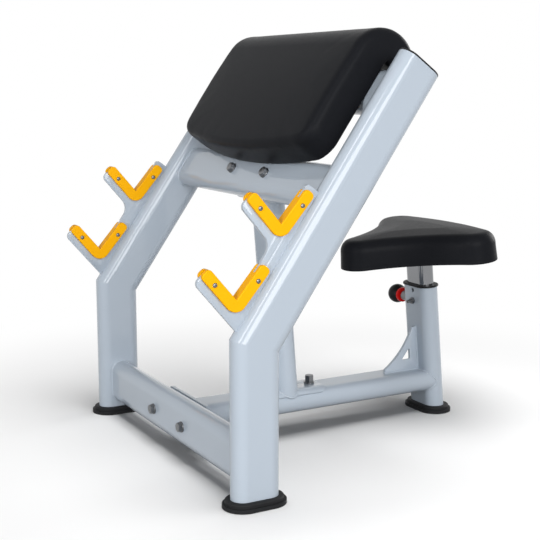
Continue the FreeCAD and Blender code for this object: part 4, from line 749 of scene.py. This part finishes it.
# %% Find where the fasteners go
def loose_solids(node):
    """Corner points of each separate solid in a node."""
    piece = merged_copy(node)
    edit(piece)
    bpy.ops.mesh.separate(type="LOOSE")
    leave_edit()
    solids = list(bpy.context.selected_objects)
    clouds = [np.array([vertex.co for vertex in solid.data.vertices]) for solid in solids]
    for solid in solids:
        bpy.data.objects.remove(solid)
    return clouds


def bolt_lines(node):
    """Outer end of the head, direction to the tail and length of each bolt in a node."""
    lines = []
    for cloud in loose_solids(node):
        centre = cloud.mean(axis=0)
        axis = np.linalg.svd(cloud - centre, full_matrices=False)[2][0]
        reach = (cloud - centre) @ axis
        aside = np.linalg.norm(cloud - centre - np.outer(reach, axis), axis=1)
        near = reach < (reach.min() + reach.max()) / 2
        if aside[near].max() < aside[~near].max():
            axis, reach = -axis, -reach
        lines.append((Vector(centre + axis * reach.min()), Vector(axis), reach.max() - reach.min()))
    return lines


def upright_to(direction, spot):
    """The move that takes a piece along Z at the origin to a line through a spot."""
    return Matrix.Translation(spot) @ direction.to_track_quat("Z", "Y").to_matrix().to_4x4()


def on_lines(node, lines):
    """Moves to the middle of each solid in a node, along the bolt line that passes it."""
    moves = []
    for cloud in loose_solids(node):
        spot = Vector((cloud.min(axis=0) + cloud.max(axis=0)) / 2)
        _, direction, _ = min(lines, key=lambda line: (spot - line[0]).cross(line[1]).length)
        moves.append(upright_to(direction, spot))
    return moves


frame_lines = bolt_lines("frame_bolts")
print("frame bolts:", [f"{length * 1000:.1f} mm" for _, _, length in frame_lines])

# %% [markdown]
# Each shape is modelled once and copied, every copy with its own mesh. The copies of one node are
# joined again, because a set of like fasteners is one piece of the packed bench.


# %% Define the fitting
def placed(shape, moves):
    """Copies of a shape at its places, each with a mesh of its own; the shape is used up."""
    copies = []
    for move in moves:
        copy = bpy.data.objects.new(shape.name, shape.data.copy())
        copy.data.transform(move)
        bpy.context.scene.collection.objects.link(copy)
        copies.append(copy)
    bpy.data.objects.remove(shape)
    return copies


def placed_bolts(lines, across, head, shank, threaded, pitch):
    """Copies of a bolt on lines of one length."""
    length = lines[0][2]
    moves = [upright_to(way, end + way * head) for end, way, _ in lines]
    return placed(bolt(across, head, shank, length - head, threaded, pitch), moves)


def fitted(copies, node, body):
    """Join copies into one zinc-plated piece that stands for a node."""
    pick(*copies)
    bpy.ops.object.join()
    piece = bpy.context.object
    bpy.ops.object.shade_smooth_by_angle(angle=SMOOTH_ANGLE)
    settle(piece, node + "_cut", "zinc_steel", body, node)
    print(piece.name, len(copies), "copies", len(piece.data.polygons), "faces")


print("fitting: place copies, join them, settle them for their node")

# %% [markdown]
# Bolts of 12 mm hold the frame together, each with a nut and two washers. Those through the crossbars
# are long; those on the saddle are short, with tall heads and with their nuts inside the beam. Bolts
# of 8 mm hold the two cushions.

# %% Fit the bolts, nuts and washers
BOLT_ACROSS = 0.019
BOLT_HEAD = 0.008
TALL_HEAD = 0.016
BOLT_SHANK = 0.012
BOLT_THREAD = 0.0175
BOLT_PITCH = 0.00175
BOLT_NUT = 0.01
WASHER_WIDE = 0.024
WASHER_THICK = 0.0025
SMALL_ACROSS = 0.013
SMALL_HEAD = 0.0055
SMALL_SHANK = 0.008
SMALL_THREAD = 0.01
SMALL_PITCH = 0.00125
LENGTH_PLAY = 0.0005
longest = max(line[2] for line in frame_lines)
long_lines = [line for line in frame_lines if longest - line[2] < LENGTH_PLAY]
short_lines = [line for line in frame_lines if line not in long_lines]
bolts = placed_bolts(long_lines, BOLT_ACROSS, BOLT_HEAD, BOLT_SHANK, BOLT_THREAD, BOLT_PITCH)
bolts += placed_bolts(short_lines, BOLT_ACROSS, TALL_HEAD, BOLT_SHANK, BOLT_THREAD, BOLT_PITCH)
fitted(bolts, "frame_bolts", "frame")
nuts = placed(nut(BOLT_ACROSS, BOLT_NUT, BOLT_SHANK), on_lines("frame_nuts", frame_lines))
fitted(nuts, "frame_nuts", "frame")
washers = placed(washer(WASHER_WIDE, WASHER_THICK, BOLT_SHANK), on_lines("frame_washers", frame_lines))
fitted(washers, "frame_washers", "frame")
for node, body in (("arm_pad_bolts", "frame"), ("seat_bolts", "seat")):
    bolts = placed_bolts(bolt_lines(node), SMALL_ACROSS, SMALL_HEAD, SMALL_SHANK, SMALL_THREAD, SMALL_PITCH)
    fitted(bolts, node, body)

# %% [markdown]
# Two small button-head screws hold each hook liner to its rack plate. Their heads are all on the
# right of the plates, as the photograph shows them, and their nuts on the left.

# %% Fit the hook screws and their nuts
SCREW_HEAD = 0.0095
SCREW_HEAD_TALL = 0.003
SCREW_SOCKET = 0.0035
SCREW_SHANK = 0.005
SCREW_NUT = 0.008
SCREW_NUT_TALL = 0.004
screw_lines = bolt_lines("hook_screws")
screw_length = screw_lines[0][2] - SCREW_HEAD_TALL
screw = button_screw(SCREW_HEAD, SCREW_HEAD_TALL, SCREW_SOCKET, SCREW_SHANK, screw_length)
screws = placed(screw, [upright_to(way, end + way * SCREW_HEAD_TALL) for end, way, _ in screw_lines])
fitted(screws, "hook_screws", "frame")
nuts = placed(nut(SCREW_NUT, SCREW_NUT_TALL, SCREW_SHANK), on_lines("hook_nuts", screw_lines))
fitted(nuts, "hook_nuts", "frame")

# %% [markdown]
# ## Cushions
# Each cushion is foam on a board under a stretched cover. The cover pulls the foam a little round,
# and the foam pushes back and swells the cover between its edges. So the solid is remeshed into an
# even skin of small squares and blown up as cloth for some frames, while the skin that is stapled to
# the board stays put. The swelling is then scaled to a millimetre or two, because good foam is firm,
# and one subdivision smooths the skin.
#
# A voxel remesh cuts space into upright cubes, so an edge that runs askew to them comes out as
# steps. Both cushions lean with the frame, so each is turned square to the cubes for the remesh,
# drawn back onto its own surface, and turned back.


# %% Remesh a cushion into an even skin
def even_skin(piece, lean, cube):
    """Give a piece an even skin, remeshed square to its lean, which is an angle about X."""
    piece.data.transform(Matrix.Rotation(lean, 4, "X"))
    guide = bpy.data.objects.new("guide", piece.data.copy())
    bpy.context.scene.collection.objects.link(guide)
    piece.data.remesh_voxel_size = cube
    pick(piece)
    bpy.ops.object.voxel_remesh()
    modify(piece, "SHRINKWRAP", target=guide, wrap_method="NEAREST_SURFACEPOINT")
    bpy.data.objects.remove(guide)
    piece.data.transform(Matrix.Rotation(-lean, 4, "X"))
    print("skin of", len(piece.data.polygons), "squares of", cube * 1000, "mm")


turns = [round(math.degrees(lean), 1) for lean in (LEG_SLANT, -POST_LEAN)]
print("for the remesh the arm pad and the seat are turned by", turns, "degrees")

# %% [markdown]
# The cloth is held wherever it touches its board or lies level with the board's back. What the
# pressure does in twenty frames is far too much for firm foam, so only a share of each point's
# movement is kept, chosen so that the point that moved furthest ends up one swell away.

# %% Define the swelling
HELD_DEPTH = 0.003
HELD_GAP = 0.002
PRESSURE = 4.0
LAST_FRAME = 20


def lowest(node, direction):
    return -highest(node, -direction)


def held_points(spots, board, front):
    """The numbers of the points that touch a board or lie level with its back."""
    solid = frame["nodes"][board]
    back = lowest(board, front)
    held = []
    for index, spot in enumerate(spots):
        nearest = solid.closest_point_on_mesh(spot)[1]
        if (nearest - spot).length < HELD_GAP or spot.dot(front) - back < HELD_DEPTH:
            held.append(index)
    return held


def swell_up(piece, board, front, swell):
    """Blow a skin up as cloth, held at its board, and keep a share of the movement."""
    rest = [vertex.co.copy() for vertex in piece.data.vertices]
    held = held_points(rest, board, front)
    piece.vertex_groups.new(name="held").add(held, 1.0, "REPLACE")
    cloth = piece.modifiers.new("cloth", "CLOTH")
    cloth.settings.vertex_group_mass = "held"
    cloth.settings.use_pressure = True
    cloth.settings.uniform_pressure_force = PRESSURE
    cloth.settings.effector_weights.gravity = 0
    cloth.point_cache.frame_end = LAST_FRAME
    for number in range(1, LAST_FRAME + 1):
        bpy.context.scene.frame_set(number)
    pick(piece)
    bpy.ops.object.modifier_apply(modifier="cloth")
    bpy.context.scene.frame_set(1)
    moves = [vertex.co - spot for vertex, spot in zip(piece.data.vertices, rest)]
    most = max(move.length for move in moves)
    for vertex, spot, move in zip(piece.data.vertices, rest, moves):
        vertex.co = spot + move * min(1, swell / most)
    piece.vertex_groups.clear()
    print(f"{board}: {len(held)} of {len(rest)} points held, the others moved up to {most:.3f} m")


print("cloth is blown up for", LAST_FRAME, "frames at a pressure of", PRESSURE)

# %% [markdown]
# The arm pad rolls over the top of the legs and ends in a lip behind them. Its solid has that form
# already, so the skin only has to swell. The smoothing after it takes away what is left of the steps
# of the cubes.

# %% Stuff the arm pad
PAD_CUBE = 0.006
PAD_SWELL = 0.0022
PAD_SMOOTHINGS = 3
SMOOTHING = 0.5
SKIN_LEVELS = 1
arm_pad = merged_copy("arm_pad")
even_skin(arm_pad, LEG_SLANT, PAD_CUBE)
swell_up(arm_pad, "pad_board", AHEAD_OF_LEG, PAD_SWELL)
modify(arm_pad, "SMOOTH", factor=SMOOTHING, iterations=PAD_SMOOTHINGS)
modify(arm_pad, "SUBSURF", levels=SKIN_LEVELS)
bpy.ops.object.shade_smooth()
settle(arm_pad, "arm_pad_stuffed", "upholstery", "frame", "arm_pad")
print("arm pad:", len(arm_pad.data.polygons), "faces")

# %% [markdown]
# The seat's cover is folded around the board and stapled to its back. To get that fold crisp, the
# cushion is made too deep first: it is sawn through above the board, where it is solid foam, and the
# cut is drawn down past the board's back, a touch wider at the bottom.

# %% Deepen the seat's foam
SOLID_FOAM = 0.034
SEAT_EXTRA = 0.009
SEAT_FLARE = 1.016
seat_floor = UP_POST * lowest("seat_cushion", UP_POST)


def saw(piece, spot):
    """Cut a piece across the post at a spot, keep what is above and leave the cut face selected."""
    edit(piece)
    bpy.ops.mesh.bisect(plane_co=spot, plane_no=UP_POST, use_fill=True, clear_inner=True)
    bpy.ops.mesh.select_mode(type="FACE")


seat_cushion = merged_copy("seat_cushion")
saw(seat_cushion, seat_floor + UP_POST * SOLID_FOAM)
bpy.ops.mesh.extrude_region_move(TRANSFORM_OT_translate={"value": -UP_POST * (SOLID_FOAM + SEAT_EXTRA)})
seat_middle = middle("seat_cushion")
seat_middle -= UP_POST * (seat_middle - seat_floor + UP_POST * SEAT_EXTRA).dot(UP_POST)
bpy.ops.transform.resize(value=(SEAT_FLARE, SEAT_FLARE, SEAT_FLARE), center_override=seat_middle)
leave_edit()
print("the foam reaches", SEAT_EXTRA * 1000, "mm past the board's back")

# %% [markdown]
# Once the skin is swollen and smooth, it is sawn off level with the board's back. The cut face is
# inset twice, once for the rounded fold and once for the hem, and what is left inside the hem is
# pushed up into the board, so that the board's back shows there.

# %% Stuff the seat
SEAT_CUBE = 0.0045
SEAT_SWELL = 0.001
SEAT_SMOOTHINGS = 1
FOLD_EASE = 0.0014
HEM_THICK = 0.0009
HEM_WIDE = 0.027
HEM_SINK = 0.004
even_skin(seat_cushion, -POST_LEAN, SEAT_CUBE)
swell_up(seat_cushion, "seat_board", UP_POST, SEAT_SWELL)
modify(seat_cushion, "SMOOTH", factor=SMOOTHING, iterations=SEAT_SMOOTHINGS)
modify(seat_cushion, "SUBSURF", levels=SKIN_LEVELS)
saw(seat_cushion, seat_floor)
bpy.ops.mesh.inset(thickness=FOLD_EASE, depth=HEM_THICK)
bpy.ops.mesh.inset(thickness=HEM_WIDE)
bpy.ops.mesh.extrude_region_move(TRANSFORM_OT_translate={"value": UP_POST * HEM_SINK})
leave_edit()
pick(seat_cushion)
bpy.ops.object.shade_smooth_by_angle(angle=SMOOTH_ANGLE)
settle(seat_cushion, "seat_cushion_stuffed", "upholstery", "seat", "seat_cushion")
print("seat:", len(seat_cushion.data.polygons), "faces")

# %% [markdown]
# ## Floor, light and camera
# The bench stands on a pale seamless floor. Near the bench the floor takes its soft shadow; further
# out it turns into the white of the background, so that no horizon shows. Only rays that look at it
# straight, in a mirror or through glass see it that pale: to all others it is a grey matt floor,
# which sends little light back up.

# %% Lay the floor
FLOOR_HALF = 12.0
FADE_FROM = 0.45
FADE_TO = 1.45
FLOOR_GREY = (0.26, 0.26, 0.26, 1)
FLOOR_PALE = (0.85, 0.85, 0.85, 1)
WHITE = (1, 1, 1, 1)
LOOKS = ("Is Camera Ray", "Is Glossy Ray", "Is Transmission Ray")


def looking(finish):
    """1 for a ray that looks straight, in a mirror or through glass, and 0 for one that carries light."""
    straight, mirrored, through = (finish.node("ShaderNodeLightPath", out=look) for look in LOOKS)
    return straight + mirrored + through


bpy.ops.object.select_all(action="DESELECT")
bpy.ops.mesh.primitive_plane_add(size=2 * FLOOR_HALF, location=(0, 0, 0))
floor = bpy.context.object
floor.name = "studio_floor"

paving = Finish("studio_floor")
distance = paving.node("ShaderNodeVectorMath", {"operation": "LENGTH"}, {0: paving.place}, out="Value")
far = paving.node(
    "ShaderNodeMapRange",
    {"interpolation_type": "SMOOTHERSTEP"},
    {"Value": distance, "From Min": FADE_FROM, "From Max": FADE_TO},
)
seen = looking(paving)
paving.surface(Base_Color=paving.tint(seen, FLOOR_GREY, FLOOR_PALE), Roughness=0.9, Specular_IOR_Level=0.1)
white = paving.node("ShaderNodeEmission", None, {"Color": WHITE})
matt = Wire(paving, paving.shader.outputs[0])
blend = paving.node("ShaderNodeMixShader", None, {0: far * seen, 1: matt, 2: white})
output = next(item for item in paving.tree.nodes if item.type == "OUTPUT_MATERIAL")
paving.feed(output, {"Surface": blend})
dress(floor, paving)
print("floor fades to white between", FADE_FROM, "and", FADE_TO, "m")

# %% [markdown]
# A product studio is brightest around the bench, at the height of the windows and the big lamps, and
# darkest overhead, which is why the tops of the tubes are darker than their sides. The world is such
# a gradient in the light that it gives. To rays that look at it, straight or in a mirror, it is
# plain white, as the floor is. Its nodes are worked like those of a finish.

# %% Set the light around
LIGHT_AROUND = 0.55
LIGHT_ABOVE = 0.08
DARKEST_HEIGHT = 0.8


class Sky(Finish):
    """The nodes of the world, with the direction that a ray goes as their place."""

    def __init__(self, name):
        world = bpy.data.worlds.new(name)
        bpy.context.scene.world = world
        world.use_nodes = True
        self.tree = world.node_tree
        self.shader = self.tree.nodes["Background"]
        self.place = self.node("ShaderNodeTexCoord", out="Generated")


sky = Sky("studio")
height = sky.node("ShaderNodeSeparateXYZ", None, {"Vector": sky.place}, out="Z")
glow = sky.node(
    "ShaderNodeMapRange",
    {"interpolation_type": "SMOOTHSTEP"},
    {"Value": height, "From Max": DARKEST_HEIGHT, "To Min": LIGHT_AROUND, "To Max": LIGHT_ABOVE},
)
strength = sky.node("ShaderNodeMix", {"data_type": "FLOAT"}, {0: looking(sky), 2: glow, 3: 1.0})
sky.surface(Color=WHITE, Strength=strength)
print("light around", LIGHT_AROUND, "and above", LIGHT_ABOVE)

# %% [markdown]
# Five softboxes light the bench. A wide key lamp on the right lights the outer sides and a weak one
# in front fills the bars. A narrow strip in front draws a thin bright line along the rounds of the
# legs, and a second one above it does so on their slanted upper halves. One lamp is behind, for those
# who walk round the bench. A sixth hangs overhead for the soft shadow on the floor. Light linking
# keeps the two jobs apart: the five pass the floor by, and the sixth lights nothing else.

# %% Hang the lamps
BENCH_MIDDLE = (0, 0, 0.45)
FLOOR_MIDDLE = (0.1, 0.1, 0)


def softbox(name, place, aim, width, height, power):
    """A rectangular lamp at a place, turned to face a point."""
    lamp = bpy.data.lights.new(name, "AREA")
    lamp.shape = "RECTANGLE"
    lamp.size = width
    lamp.size_y = height
    lamp.energy = power
    holder = bpy.data.objects.new(name, lamp)
    bpy.context.scene.collection.objects.link(holder)
    holder.location = place
    holder.rotation_euler = (Vector(aim) - Vector(place)).to_track_quat("-Z", "Y").to_euler()
    return holder


bench_lamps = [
    softbox("key", (3.5, -0.5, 1.4), BENCH_MIDDLE, width=2.4, height=2.0, power=98),
    softbox("front", (-0.6, -3.6, 1.1), BENCH_MIDDLE, width=2.0, height=1.6, power=9),
    softbox("strip", (2.0, -3.4, 1.0), BENCH_MIDDLE, width=0.3, height=2.0, power=52),
    softbox("edge", (2.0, -2.35, 2.7), BENCH_MIDDLE, width=0.5, height=1.8, power=24),
    softbox("back", (-0.4, 4.0, 1.6), BENCH_MIDDLE, width=2.4, height=2.0, power=75),
]
floor_lamp = softbox("overhead", (0.35, 0.15, 2.4), FLOOR_MIDDLE, width=1.8, height=1.8, power=80)
for lamps, state in ((bench_lamps, "EXCLUDE"), ([floor_lamp], "INCLUDE")):
    receivers = bpy.data.collections.new("floor_" + state.lower())
    receivers.objects.link(floor)
    receivers.collection_objects[0].light_linking.link_state = state
    for lamp in lamps:
        lamp.light_linking.receiver_collection = receivers
print("lamps for the bench:", len(bench_lamps), "and for the floor: 1")

# %% [markdown]
# The camera stands where the photograph was taken: in front of the bench on its right, a little lower
# than the top of the arm pad, with a long lens. Its place could be found by trial. Here it was solved
# from points whose place on the bench is known, such as feet, bends and bolts. Eye and aim are
# measured from the line of the legs.

# %% Place the camera
LENS = 73.17
SENSOR = 36.0
EYE = Vector((2.1357, -0.9513, 0.8057))
AIM = Vector((0, 0.2325, 0.3866))
camera_data = bpy.data.cameras.new("camera")
camera_data.lens = LENS
camera_data.sensor_width = SENSOR
camera = bpy.data.objects.new("camera", camera_data)
bpy.context.scene.collection.objects.link(camera)
camera.location = EYE + Vector((0, leg_line, 0))
camera.rotation_euler = (AIM - EYE).to_track_quat("-Z", "Y").to_euler()
bpy.context.scene.camera = camera
bpy.context.scene.view_settings.view_transform = "Standard"
print("camera", [round(value, 3) for value in camera.location])

# %% [markdown]
# ## Size
# Dressing must not change the size of the bench.
